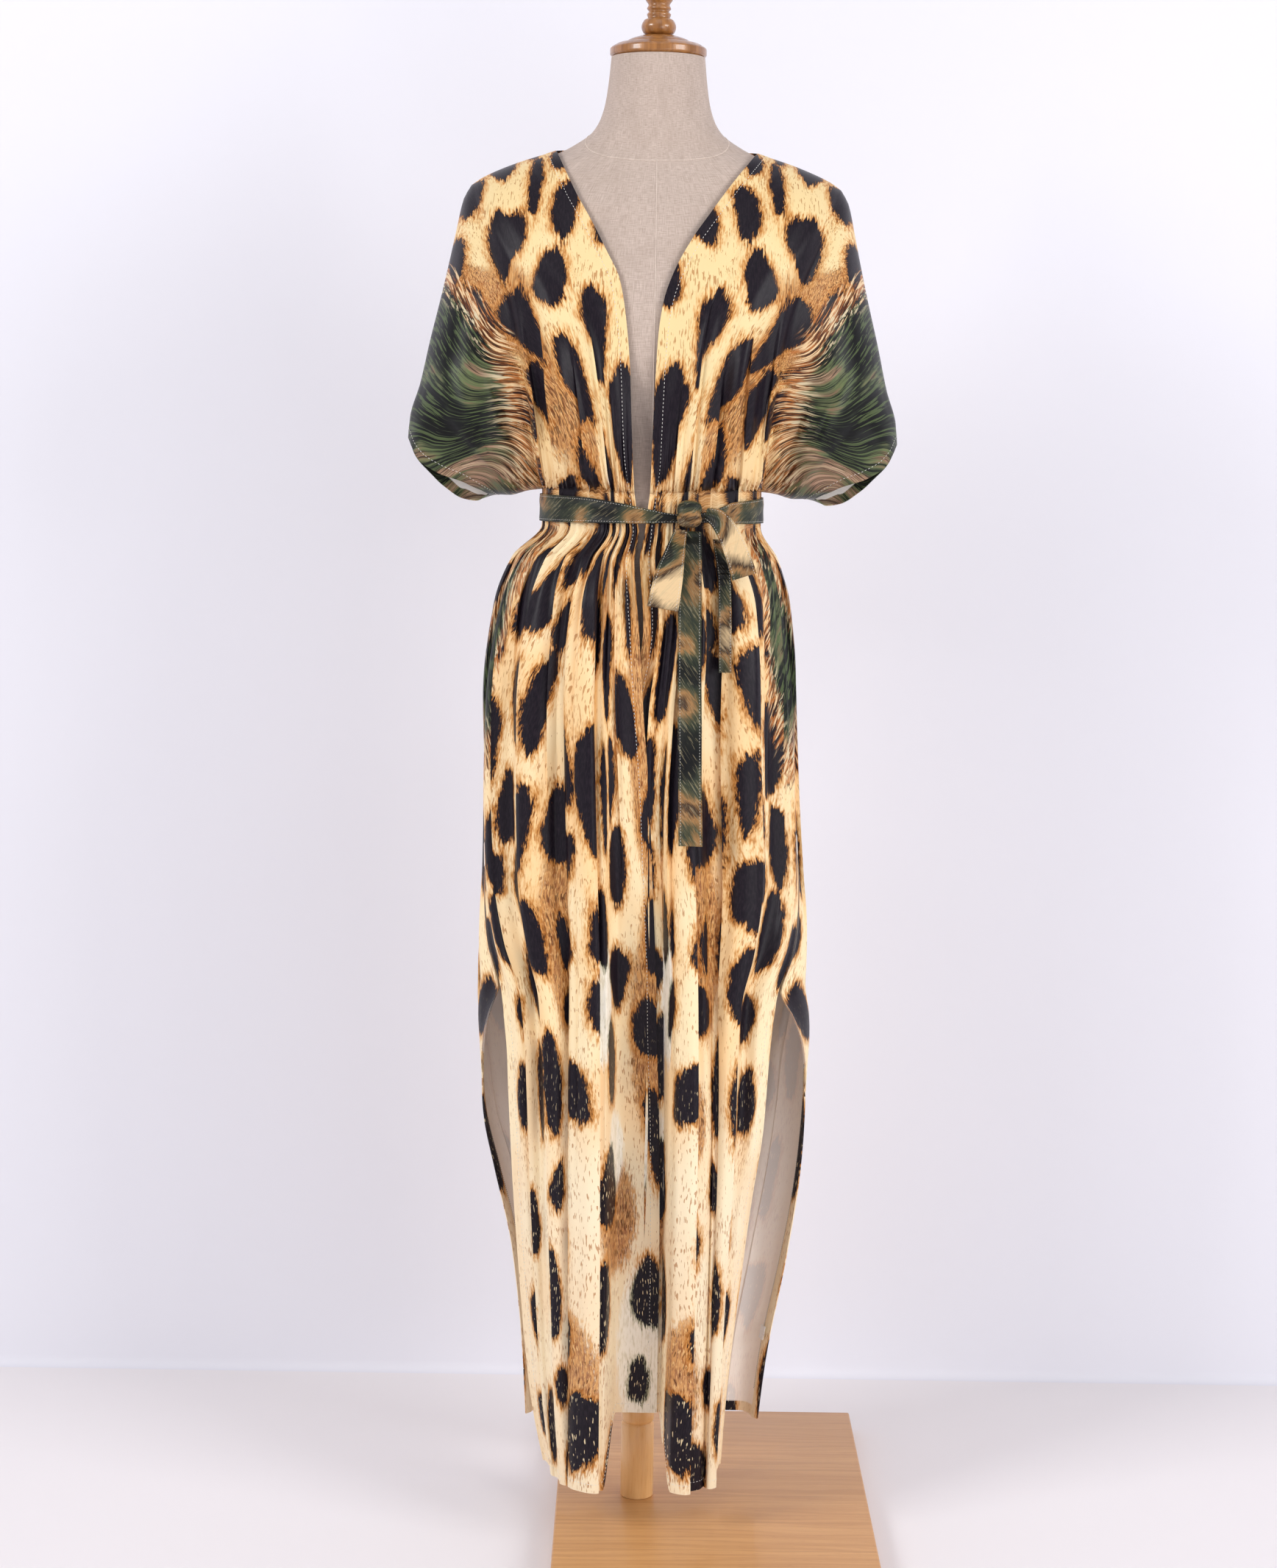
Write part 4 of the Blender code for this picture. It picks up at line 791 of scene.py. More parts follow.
def skirtGrid(piece, part):
    rows = np.arange(coat["skirtRows"] + 1)
    part = np.asarray(part, float)
    hem = hemHeight(piece, part)
    fall = (rows / coat["skirtRows"])[:, None] ** coat["rowBias"]
    height = coat["beltLow"] + (hem[None, :] - coat["beltLow"]) * fall
    part = np.broadcast_to(part, height.shape)
    points = skirtPoint(piece, part, height)
    if piece == "back":
        sewn = (np.abs(part) > 1 - 1e-9) & (np.abs(columnAngle(piece, part, height)) > 89.9)
        seamPlace = coat["seamGap"] / 2
    else:
        sewn = (part > 1 - 1e-9) & (np.abs(sideAngle(piece, height)) > 89.9)
        seamPlace = -coat["seamGap"] / 2
    points[..., 1] = np.where(sewn, seamPlace, points[..., 1])
    normal = gridNormals(points)
    if (normal[..., 1] * (-1 if piece != "back" else 1)).sum() < 0:
        normal = -normal
    rise, hidden = pleatSteps(piece, part, height)
    trough = gatherDepth(piece, part, height) + skirtCreaseDepth(piece, part, height) - rise
    uneven = coat["skirtUneven"] * (1 + ripple(part * 4, height * 3, 9))
    trough = trough + uneven * ease((coat["beltLow"] - height) / 0.1)
    trough = trough * ease((1 - np.abs(part)) / coat["sideFade"])
    points = points - normal * trough[..., None]
    # cloth place across: the panel's width at the hip, with what the pleats hide
    hip = skirtPoint(piece, part[:1], np.full((1, part.shape[1]), coat["hipLine"]))
    across = skirtSpread * arcFrom(hip, 1) + hidden
    columns = panelColumns(piece)
    first = columns if piece == "back" else 0
    if piece == "back":
        across = np.abs(across - across[:, columns][:, None])
    for place, _, _, lowEnd, side in skirtPleats[piece]:
        lapOver(points, columns, place, side, pleatOpening(height.mean(axis=1), lowEnd), first)
    points[..., 1] = np.where(sewn, seamPlace, points[..., 1])
    return {"points": points, "sewn": sewn, "down": height, "across": across,
            "depth": np.zeros_like(height), "dusk": np.zeros_like(height)}


def joinGrids(first, second):
    # one point list and quads for an upper grid and the skirt grid under it
    upperRows, upperColumns = first["points"].shape[:2]
    skirtRows, skirtColumns = second["points"].shape[:2]
    start = first.get("start", 0)
    count = upperRows * upperColumns
    top = np.arange(count).reshape(upperRows, upperColumns)
    low = count + np.arange(skirtRows * skirtColumns).reshape(skirtRows, skirtColumns)

    bridge = np.stack([top[-1, start:start + skirtColumns], low[0]])
    faces = np.concatenate([gridQuads(top), gridQuads(bridge), gridQuads(low)])
    flat = {name: np.concatenate([first[name].reshape(count, -1), second[name].reshape(low.size, -1)])
            for name in ("points", "sewn", "down", "across", "depth", "dusk")}
    return flat, faces, top, low


def makePanel(piece, seed):
    if piece == "back":
        left, right = panelGrid(piece, 1), panelGrid(piece, -1)
        upper = {name: np.concatenate([right[name][:, :0:-1], left[name]], axis=1)
                 for name in ("points", "sewn", "down", "across", "depth", "dusk")}
        upper["start"] = coat["sleeveColumns"]
        columns = coat["backColumns"]
        skirt = skirtGrid(piece, np.arange(-columns, columns + 1) / columns)
    else:
        upper = panelGrid(piece, -1 if piece == "front_right" else 1)
        skirt = skirtGrid(piece, upper["body"])
    cloth, faces, top, low = joinGrids(upper, skirt)
    way = -1 if piece != "back" else 1
    shell, normals = clothShell(
        piece + "_cloth", cloth["points"], faces, [looks["printedSatin"], looks["wrongSide"]], coat["wall"],
        cloth["sewn"][:, 0].astype(bool), lambda p: np.tile((0.0, way, 0.0), (len(p), 1)))
    u, v = cloth["across"][:, 0], cloth["down"][:, 0]
    field, ends = spotField(u, v, seed)
    place = np.stack([u, v, cloth["depth"][:, 0]], axis=1)
    dusk = np.maximum(cloth["dusk"][:, 0], patch(u, v, printPatches["dusk"]) * (cloth["dusk"][:, 0] < 0.5))
    zones = np.stack([patch(u, v, printPatches["rust"]), patch(u, v, printPatches["pale"]), dusk], axis=1)
    setValues(shell, "clothPlace", np.concatenate([place, place]), "FLOAT_VECTOR")
    setValues(shell, "spotField", np.concatenate([field, field]))
    setValues(shell, "spotEnds", np.concatenate([ends, ends]))
    setValues(shell, "printZones", np.concatenate([zones, zones]), "FLOAT_VECTOR")
    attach(shell, "root")
    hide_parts(piece)
    panels[piece] = {"shell": shell, "points": cloth["points"], "normals": normals, "top": top, "low": low,
                     "start": upper.get("start", 0)}
    print("coat:", piece, len(shell.data.polygons), "faces")
    return shell


# looks: each shared effect is one node group, and every material places it with its own values

def shade(code):
    # linear colour of an sRGB hex code
    parts = [int(code[k:k + 2], 16) / 255 for k in (0, 2, 4)]
    return tuple(c / 12.92 if c <= 0.04045 else ((c + 0.055) / 1.055) ** 2.4 for c in parts) + (1.0,)


def feed(tree, node, values):
    for name, value in values.items():
        if isinstance(value, bpy.types.NodeSocket):
            tree.links.new(value, node.inputs[name])
        else:
            node.inputs[name].default_value = value


def put(tree, kind, values=None, **settings):
    # one node; values are set or linked by the name or number of its inputs
    node = tree.nodes.new("ShaderNode" + kind)
    for name, value in settings.items():
        setattr(node, name, value)
    feed(tree, node, values or {})
    return node


def calc(tree, operation, a, b=0.0, c=0.0):
    return put(tree, "Math", {0: a, 1: b, 2: c}, operation=operation).outputs[0]


def blendColour(tree, factor, a, b, kind="MIX"):
    node = put(tree, "Mix", {0: factor, 6: a, 7: b}, data_type="RGBA", blend_type=kind)
    return node.outputs[2]


def stretch(tree, vector, scale):
    return put(tree, "VectorMath", {0: vector, 1: scale}, operation="MULTIPLY").outputs[0]


def noise(tree, vector, scale, detail=2.0, rough=0.5, twist=0.0):
    return put(tree, "TexNoise", {"Vector": vector, "Scale": scale, "Detail": detail, "Roughness": rough,
                                  "Distortion": twist}).outputs["Fac"]


def between(tree, value, low, high):
    # 0 below low and 1 above high, softly; low may be the larger one
    return put(tree, "MapRange", {"Value": value, "From Min": low, "From Max": high},
               interpolation_type="SMOOTHSTEP").outputs[0]


def colourRamp(tree, factor, stops):
    # stops are places and colour codes
    ramp = put(tree, "ValToRGB", {0: factor})
    elements = ramp.color_ramp.elements
    for element, (place, code) in zip(elements, (stops[0], stops[-1])):
        element.position, element.color = place, shade(code)
    for place, code in stops[1:-1]:
        elements.new(place).color = shade(code)
    return ramp.outputs[0]


def newGroup(name, inputs, outputs):
    tree = bpy.data.node_groups.new(name, "ShaderNodeTree")
    kinds = {"Float": "NodeSocketFloat", "Vector": "NodeSocketVector", "Color": "NodeSocketColor"}
    for label, kind in inputs:
        tree.interface.new_socket(label, in_out="INPUT", socket_type=kinds[kind])
    for label, kind in outputs:
        tree.interface.new_socket(label, in_out="OUTPUT", socket_type=kinds[kind])
    return tree, tree.nodes.new("NodeGroupInput").outputs, tree.nodes.new("NodeGroupOutput").inputs


def leopardPrintGroup():
    # colour of the print from the cloth's place, the spots' field and the patches
    tree, given, out = newGroup(
        "leopardPrint", [("Place", "Vector"), ("Field", "Float"), ("Ends", "Float"), ("Zones", "Vector"),
                         ("Wash", "Float")], [("Colour", "Color"), ("Ink", "Float")])
    zones = put(tree, "SeparateXYZ", {0: given["Zones"]}).outputs
    down = put(tree, "SeparateXYZ", {0: given["Place"]}).outputs[1]
    low = between(tree, down, 0.62, 0.34)
    chest = between(tree, down, 1.10, 1.25)
    sway = noise(tree, given["Place"], 14.0, 1.0)
    slant = calc(tree, "MULTIPLY", calc(tree, "SUBTRACT", sway, 0.5), 0.014)
    place = put(tree, "VectorMath", {0: given["Place"], 1: put(tree, "CombineXYZ", {0: slant}).outputs[0]},
                operation="ADD").outputs[0]
    hair = noise(tree, stretch(tree, place, (430.0, 72.0, 430.0)), 1.0, 2.0, 0.65)
    fine = noise(tree, stretch(tree, place, (980.0, 130.0, 980.0)), 1.0, 2.0, 0.6)
    speck = noise(tree, stretch(tree, place, (620.0, 96.0, 620.0)), 1.0, 1.0, 0.5)
    broad = noise(tree, given["Place"], 30.0, 3.0, 0.55)
    cloud = noise(tree, stretch(tree, given["Place"], (14.0, 6.0, 14.0)), 1.0, 2.0, 0.5)
    hairOff = calc(tree, "SUBTRACT", hair, 0.5)
    fineOff = calc(tree, "SUBTRACT", fine, 0.5)
    reach = calc(tree, "MULTIPLY_ADD", given["Ends"], 0.020, 0.006)
    ragged = calc(tree, "MULTIPLY_ADD", fineOff, 0.012, calc(tree, "MULTIPLY", hairOff, reach))
    ragged = calc(tree, "MULTIPLY", ragged, between(tree, given["Field"], -0.0065, -0.0010))
    edge = calc(tree, "ADD", given["Field"], ragged)
    edge = calc(tree, "MULTIPLY_ADD", calc(tree, "SUBTRACT", broad, 0.5), 0.008, edge)

    # ground between the spots
    tan = blendColour(tree, between(tree, hair, 0.36, 0.62), shade("CE9350"), shade("E4B473"))
    cream = blendColour(tree, between(tree, cloud, 0.40, 0.60), shade("F7E0B4"), shade("F4CF99"))
    cream = blendColour(tree, calc(tree, "MULTIPLY", low, 0.50), cream, shade("F2E6CE"))
    cream = blendColour(tree, calc(tree, "MULTIPLY", chest, 0.80), cream, shade("E8D09A"))
    away = between(tree, calc(tree, "MULTIPLY_ADD", hairOff, 0.010, edge), 0.001, 0.011)
    ground = blendColour(tree, away, tan, cream)
    rustPlace = calc(tree, "MULTIPLY_ADD", hairOff, 0.9, calc(tree, "MULTIPLY_ADD", fineOff, 0.7, zones[0]))
    rust = between(tree, rustPlace, 0.34, 0.66)
    brown = blendColour(tree, between(tree, hair, 0.36, 0.60), shade("8A4A1E"), shade("C98C4C"))
    brown = blendColour(tree, between(tree, fine, 0.52, 0.66), brown, shade("E0B072"))
    ground = blendColour(tree, calc(tree, "MULTIPLY", rust, 0.90), ground, brown)
    palePlace = calc(tree, "MULTIPLY_ADD", hairOff, 0.6, calc(tree, "MULTIPLY_ADD", fineOff, 0.4, zones[1]))
    pale = between(tree, palePlace, 0.36, 0.72)
    white = blendColour(tree, between(tree, hair, 0.30, 0.56), shade("DED6C0"), shade("F6F0E2"))
    ground = blendColour(tree, calc(tree, "MULTIPLY", pale, 0.94), ground, white)

    # short brown hairs in the ground, thicker in some places
    dense = between(tree, noise(tree, given["Place"], 16.0, 3.0, 0.6), 0.42, 0.66)
    thick = calc(tree, "MULTIPLY_ADD", dense, -0.120, calc(tree, "MULTIPLY_ADD", chest, -0.015, 0.670))
    thick = calc(tree, "MULTIPLY_ADD", rust, -0.050, calc(tree, "MULTIPLY_ADD", pale, 0.060, thick))
    flecks = between(tree, speck, thick, calc(tree, "ADD", thick, 0.045))
    fleckTone = blendColour(tree, pale, shade("A8692E"), shade("8F8C6C"))
    fleckTone = blendColour(tree, rust, fleckTone, shade("4E2711"))
    ground = blendColour(tree, calc(tree, "MULTIPLY", flecks, 0.70), ground, fleckTone)

    # fringe of a spot: orange brown, dark brown, black
    outer = between(tree, edge, 0.0060, 0.0008)
    outerTone = blendColour(tree, pale, shade("B4702E"), shade("8B8A60"))
    ground = blendColour(tree, calc(tree, "MULTIPLY", outer, 0.80), ground, outerTone)
    inner = between(tree, edge, 0.0026, 0.0000)
    innerTone = blendColour(tree, pale, shade("4A2910"), shade("30332A"))
    colour = blendColour(tree, inner, ground, innerTone)
    core = between(tree, edge, 0.0010, -0.0006)
    blackTone = blendColour(tree, between(tree, fine, 0.40, 0.66), shade("17121A"), shade("241D24"))
    light = calc(tree, "MULTIPLY", between(tree, speck, 0.650, 0.690), low)
    blackTone = blendColour(tree, light, blackTone, shade("E4CFA6"))
    colour = blendColour(tree, core, colour, blackTone)

    # dusk: brown fur that hangs over black and dark green, with long light hairs
    turned = put(tree, "VectorRotate", {"Vector": given["Place"], "Angle": math.radians(24)},
                 rotation_type="Z_AXIS").outputs[0]
    locks = noise(tree, stretch(tree, turned, (270.0, 34.0, 9.0)), 1.0, 3.0, 0.68, 0.5)
    thin = noise(tree, stretch(tree, turned, (560.0, 42.0, 12.0)), 1.0, 2.0, 0.55, 0.3)
    blur = noise(tree, stretch(tree, turned, (17.0, 8.0, 17.0)), 1.0, 2.0, 0.5, 0.6)
    locksOff = calc(tree, "SUBTRACT", locks, 0.5)
    duskPlace = calc(tree, "MULTIPLY_ADD", locksOff, 1.3, zones[2])
    lifted = calc(tree, "MULTIPLY", between(tree, down, 1.36, 1.13), 0.26)
    tone = calc(tree, "MULTIPLY_ADD", locksOff, 0.60, calc(tree, "MULTIPLY_ADD", blur, 1.5, -0.40))
    tone = calc(tree, "ADD", tone, lifted)
    deep = colourRamp(tree, tone, [(0.30, "0F0F11"), (0.46, "191B1A"), (0.56, "2E3428"), (0.64, "5F6547"),
                                   (0.72, "7B644F"), (0.82, "A5826A"), (0.95, "CDB296")])
    greenHair = between(tree, thin, 0.545, 0.585)
    deep = blendColour(tree, calc(tree, "MULTIPLY", greenHair, 0.46), deep, shade("6C7D50"))
    darkHair = between(tree, thin, 0.445, 0.405)
    deep = blendColour(tree, calc(tree, "MULTIPLY", darkHair, 0.75), deep, shade("121211"))
    paleHair = calc(tree, "MULTIPLY", between(tree, locks, 0.545, 0.600), between(tree, zones[2], 0.96, 0.60))
    deep = blendColour(tree, calc(tree, "MULTIPLY", paleHair, 0.90), deep, shade("DCCBA6"))
    furMask = between(tree, duskPlace, 0.06, 0.26)
    fur = blendColour(tree, between(tree, locks, 0.38, 0.58), shade("5A2D14"), shade("B9733A"))
    fur = blendColour(tree, between(tree, thin, 0.53, 0.59), fur, shade("E6C79A"))
    fur = blendColour(tree, between(tree, thin, 0.45, 0.41), fur, shade("2E1A12"))
    furMask = calc(tree, "MULTIPLY", furMask, between(tree, zones[2], 0.0, 0.12))
    colour = blendColour(tree, calc(tree, "MULTIPLY", furMask, 0.94), colour, fur)
    duskMask = between(tree, duskPlace, 0.50, 0.64)
    colour = blendColour(tree, duskMask, colour, deep)
    # Wash pales the print towards near-white. On the wrong side this is partly the cloth's own pale back with
    # the print showing through, and partly painted light: brighter than the cloth, it stands in for light
    # shining through the thin cloth into its shade.
    colour = blendColour(tree, given["Wash"], colour, shade("FFF9F4"))
    tree.links.new(colour, out["Colour"])
    tree.links.new(calc(tree, "MAXIMUM", core, duskMask), out["Ink"])
    return tree


def weaveGroup():
    # fine woven relief with a slight crepe
    tree, given, out = newGroup(
        "wovenRelief", [("Place", "Vector"), ("Threads", "Float"), ("Crepe", "Float")],
        [("Height", "Float"), ("Slub", "Float")])
    parts = put(tree, "SeparateXYZ", {0: given["Place"]}).outputs
    warp = calc(tree, "SINE", calc(tree, "MULTIPLY", parts[0], given["Threads"]))
    weft = calc(tree, "SINE", calc(tree, "MULTIPLY", parts[1], given["Threads"]))
    crossed = calc(tree, "MULTIPLY", warp, weft)
    crepe = noise(tree, given["Place"], 900.0, 3.0, 0.7)
    height = calc(tree, "MULTIPLY_ADD", crepe, given["Crepe"], calc(tree, "MULTIPLY", crossed, 0.5))
    tree.links.new(height, out["Height"])
    across = noise(tree, stretch(tree, given["Place"], (90.0, 1400.0, 90.0)), 1.0, 2.0, 0.6)
    down = noise(tree, stretch(tree, given["Place"], (1400.0, 90.0, 1400.0)), 1.0, 2.0, 0.6)
    tree.links.new(calc(tree, "MULTIPLY", calc(tree, "ADD", across, down), 0.5), out["Slub"])
    return tree


def woodGroup():
    # long grain along the vector's X
    tree, given, out = newGroup(
        "woodGrain", [("Place", "Vector"), ("Light", "Color"), ("Dark", "Color"), ("Contrast", "Float")],
        [("Colour", "Color"), ("Height", "Float")])
    drift = noise(tree, stretch(tree, given["Place"], (3.0, 22.0, 22.0)), 1.0, 2.0)
    moved = put(tree, "VectorMath", {0: given["Place"], 1: put(tree, "CombineXYZ", {
        1: calc(tree, "MULTIPLY", drift, 0.05)}).outputs[0]}, operation="ADD").outputs[0]
    bands = noise(tree, stretch(tree, moved, (4.0, 130.0, 130.0)), 1.0, 4.0, 0.62)
    pores = noise(tree, stretch(tree, given["Place"], (60.0, 1500.0, 1500.0)), 1.0, 2.0, 0.6)
    tone = between(tree, bands, 0.34, 0.66)
    grain = calc(tree, "MULTIPLY", tone, given["Contrast"])
    colour = blendColour(tree, grain, given["Light"], given["Dark"])
    dark = calc(tree, "MULTIPLY", between(tree, pores, 0.58, 0.72), 0.35)
    colour = blendColour(tree, dark, colour, given["Dark"], "MULTIPLY")
    tree.links.new(colour, out["Colour"])
    tree.links.new(calc(tree, "MULTIPLY_ADD", pores, -0.6, tone), out["Height"])
    return tree


def furBlurGroup():
    # soft fur colours of the belt along its length: dark green, brown, black and beige stretches
    tree, given, out = newGroup("furBlur", [("Place", "Vector"), ("Light", "Float")], [("Colour", "Color")])
    turned = put(tree, "VectorRotate", {"Vector": given["Place"], "Angle": math.radians(32)},
                 rotation_type="Z_AXIS").outputs[0]
    broad = noise(tree, stretch(tree, given["Place"], (14.0, 15.0, 14.0)), 1.0, 1.5, 0.5)
    hair = noise(tree, stretch(tree, turned, (420.0, 60.0, 420.0)), 1.0, 2.0, 0.6, 0.8)
    wisps = noise(tree, stretch(tree, turned, (640.0, 44.0, 640.0)), 1.0, 1.0, 0.5, 1.2)
    tone = calc(tree, "MULTIPLY_ADD", calc(tree, "SUBTRACT", hair, 0.5), 0.16, broad)
    tone = calc(tree, "ADD", tone, given["Light"])
    furTone = colourRamp(tree, tone, [(0.34, "101012"), (0.43, "1B1D19"), (0.48, "2F3529"), (0.52, "4D4A33"),
                                      (0.57, "9C7448"), (0.62, "33241A"), (0.72, "DDBF92")])
    light = calc(tree, "MULTIPLY", between(tree, wisps, 0.60, 0.66), 0.30)
    colour = blendColour(tree, light, furTone, shade("B4A884"))
    tree.links.new(colour, out["Colour"])
    return tree


groups = {"print": leopardPrintGroup(), "weave": weaveGroup(), "wood": woodGroup(), "fur": furBlurGroup()}


def newLook(name, **surface):
    material = bpy.data.materials.new(name)
    material.use_nodes = True
    tree = material.node_tree
    shader = tree.nodes["Principled BSDF"]
    for label, value in surface.items():
        shader.inputs[label.replace("_", " ")].default_value = value
    return material, tree, shader


def useGroup(tree, name, values):
    node = tree.nodes.new("ShaderNodeGroup")
    node.node_tree = groups[name]
    feed(tree, node, values)
    return node.outputs


def relief(tree, shader, height, strength, distance):
    bumpNode = put(tree, "Bump", {"Height": height, "Strength": strength, "Distance": distance})
    tree.links.new(bumpNode.outputs[0], shader.inputs["Normal"])


def readValue(tree, name, output="Fac"):
    return put(tree, "Attribute", attribute_name=name).outputs[output]


def printedLook(name, wash, roughness, gloss):
    material, tree, shader = newLook(name, Roughness=roughness, Specular_IOR_Level=gloss)
    place = readValue(tree, "clothPlace", "Vector")
    if wash:
        # the turned hems show the print on the inside
        band = between(tree, readValue(tree, "hemBand"), 0.35, 0.65)
        wash = calc(tree, "MULTIPLY_ADD", band, -wash, wash)
    painted = useGroup(tree, "print", {
        "Place": place, "Field": readValue(tree, "spotField"), "Ends": readValue(tree, "spotEnds"),
        "Zones": readValue(tree, "printZones", "Vector"), "Wash": wash})
    tree.links.new(painted["Colour"], shader.inputs["Base Color"])
    rough = put(tree, "MapRange", {"Value": painted["Ink"], "To Min": roughness + 0.04,
                                   "To Max": roughness - 0.06})
    tree.links.new(rough.outputs[0], shader.inputs["Roughness"])
    woven = useGroup(tree, "weave", {"Place": place, "Threads": 9000.0, "Crepe": 0.9})
    relief(tree, shader, woven["Height"], 0.16, 0.0002)
    return material


def beltLook(name, light):
    material, tree, shader = newLook(name, Roughness=0.44, Specular_IOR_Level=0.22)
    place = readValue(tree, "clothPlace", "Vector")
    fur = useGroup(tree, "fur", {"Place": place, "Light": light})
    tree.links.new(fur["Colour"], shader.inputs["Base Color"])
    woven = useGroup(tree, "weave", {"Place": place, "Threads": 9000.0, "Crepe": 0.9})
    relief(tree, shader, woven["Height"], 0.18, 0.0002)
    return material


def plainClothLook(name, code, shadeCode, threads, roughness):
    # woven cloth without a print, on the object's own places
    material, tree, shader = newLook(name, Roughness=roughness, Specular_IOR_Level=0.25, Sheen_Weight=0.12)
    parts = put(tree, "SeparateXYZ", {0: put(tree, "TexCoord").outputs["Object"]}).outputs
    around = calc(tree, "MULTIPLY", calc(tree, "ARCTAN2", parts[0], parts[1]), 0.11)
    place = put(tree, "CombineXYZ", {0: around, 1: parts[2]}).outputs[0]
    woven = useGroup(tree, "weave", {"Place": place, "Threads": threads, "Crepe": 0.6})
    tone = between(tree, woven["Slub"], 0.36, 0.64)
    mottled = noise(tree, place, 26.0, 3.0)
    base = blendColour(tree, tone, shade(shadeCode), shade(code))
    worn = calc(tree, "MULTIPLY", between(tree, mottled, 0.42, 0.72), 0.35)
    tree.links.new(blendColour(tree, worn, base, shade(shadeCode)), shader.inputs["Base Color"])
    relief(tree, shader, calc(tree, "ADD", woven["Height"], woven["Slub"]), 0.30, 0.0004)
    return material


def woodLook(name, light, dark, contrast, roughness, coatWeight, upright, planks=0.0):
    material, tree, shader = newLook(name, Roughness=roughness, Coat_Weight=coatWeight, Coat_Roughness=0.12)
    parts = put(tree, "SeparateXYZ", {0: put(tree, "TexCoord").outputs["Object"]}).outputs
    order = (2, 0, 1) if upright else (0, 1, 2)
    place = put(tree, "CombineXYZ", {k: parts[order[k]] for k in range(3)}).outputs[0]
    if planks:
        # planks glued side by side, each with its own tone and its own stretch of grain
        share = calc(tree, "DIVIDE", parts[1], planks)
        number = calc(tree, "FLOOR", share)
        tint = put(tree, "TexWhiteNoise", {"W": number}, noise_dimensions="1D").outputs["Value"]
        shifted = put(tree, "CombineXYZ", {0: calc(tree, "MULTIPLY", tint, 7.0)}).outputs[0]
        place = put(tree, "VectorMath", {0: place, 1: shifted}, operation="ADD").outputs[0]
        inside = calc(tree, "ABSOLUTE", calc(tree, "SUBTRACT", calc(tree, "FRACT", share), 0.5))
        joint = between(tree, inside, 0.4955, 0.4990)
    grain = useGroup(tree, "wood", {"Place": place, "Light": shade(light), "Dark": shade(dark),
                                    "Contrast": contrast})
    colour = grain["Colour"]
    if planks:
        colour = blendColour(tree, calc(tree, "MULTIPLY", tint, 0.30), colour, shade(dark))
        colour = blendColour(tree, calc(tree, "MULTIPLY", joint, 0.55), colour, shade("7A4E2A"))
    tree.links.new(colour, shader.inputs["Base Color"])
    relief(tree, shader, grain["Height"], 0.10, 0.0006)
    return material


def threadLook(name, code, roughness=0.6):
    # twisted sewing thread
    material, tree, shader = newLook(name, Roughness=roughness, Sheen_Weight=0.2)
    place = put(tree, "TexCoord").outputs["Object"]
    twist = noise(tree, place, 2600.0, 2.0, 0.6)
    tone = blendColour(tree, between(tree, twist, 0.38, 0.62), shade(code), shade("FFFFFF"), "MULTIPLY")
    tree.links.new(tone, shader.inputs["Base Color"])
    relief(tree, shader, twist, 0.4, 0.0003)
    return material


looks = {
    "printedSatin": printedLook("printedSatin", 0.0, 0.42, 0.16),
    # the wrong side's wash of 0.78 is partly its own pale colour and partly painted light for light shining
    # through the thin cloth into its shade
    "wrongSide": printedLook("wrongSideOfPrint", 0.78, 0.60, 0.15),
    "belt": beltLook("beltSatin", -0.03),
    "beltTail": beltLook("tailSatin", 0.0),
    "beltLoop": beltLook("loopSatin", 0.06),
    "linen": plainClothLook("linenCover", "CBB9AD", "AD9B8E", 5200.0, 0.86),
    "seamTape": plainClothLook("linenSeam", "DCCCBF", "C0AEA0", 5200.0, 0.86),
    "label": plainClothLook("labelSatin", "FAFAF9", "E8E8E6", 9000.0, 0.5),
    "capWood": woodLook("turnedWood", "A8713A", "70431A", 0.70, 0.30, 0.5, True),
    # the pole's light wood tone is painted lighter still: painted light that lifts the shade falling on the
    # pole
    "poleWood": woodLook("poleWood", "F8C98A", "E0A865", 0.55, 0.38, 0.3, True),
    "boardWood": woodLook("boardWood", "CF9A60", "B27B42", 0.55, 0.42, 0.20, False, 0.078),
    "thread": threadLook("sewingThread", "E2DFD8"),
    "darkThread": threadLook("overlockThread", "8F8F8C"),
}
print("looks: made")


def insetLine(lines, normals, distance):
    # the point of each line of a grid that lies a distance in from the line's first point
    pairs = [(placeAt(line, arcLength(line), distance), placeAt(normal, arcLength(line), distance))
             for line, normal in zip(lines, normals)]
    places, ways = zip(*pairs)
    return np.array(places), np.array(ways)


sewing = {"pitch": 0.0040, "long": 0.0027, "width": 0.00055, "proud": 0.00035, "dip": 0.0002, "inset": 0.0095,
          "bandTop": 0.575, "bandTopLeft": 0.590, "slitStitchTop": 0.57, "edgeRows": 4,
          "overlockInsets": (0.0104, 0.0118), "overlockPitch": 0.0026, "overlockWidth": 0.0011}


def stitches(name, lines, look, pitch=sewing["pitch"], width=sewing["width"]):
    # short threads along lines of (points, normals), each with pointed ends that dip into the cloth
    length = sewing["long"] * pitch / sewing["pitch"]
    stations = np.array([0.0, 0.22, 0.78, 1.0])
    dip = sewing["dip"]
    points, faces = [], []
    for path, ways in lines:
        arc = arcLength(path)
        for start in np.arange(pitch * 0.5, arc[-1] - pitch, pitch):
            at = start + length * stations
            centre, normal = placeAt(path, arc, at), placeAt(ways, arc, at)
            normal /= np.linalg.norm(normal, axis=1, keepdims=True)
            heading = centre[-1] - centre[0]
            heading /= np.linalg.norm(heading)
            beside = np.cross(heading, normal)
            base = len(points)
            points.append(centre[0] - normal[0] * dip)
            for k in (1, 2):
                lift = normal[k] * sewing["proud"]
                points += [centre[k] + beside[k] * width / 2, centre[k] + lift,
                           centre[k] - beside[k] * width / 2, centre[k] - normal[k] * dip]
            points.append(centre[3] - normal[3] * dip)
            for k in range(4):
                n = (k + 1) % 4
                faces += [(base, base + 1 + n, base + 1 + k),
                          (base + 1 + k, base + 1 + n, base + 5 + n, base + 5 + k),
                          (base + 9, base + 5 + k, base + 5 + n)]
    piece = newMesh(name, points, faces, [look])
    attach(piece, "root")
    return piece


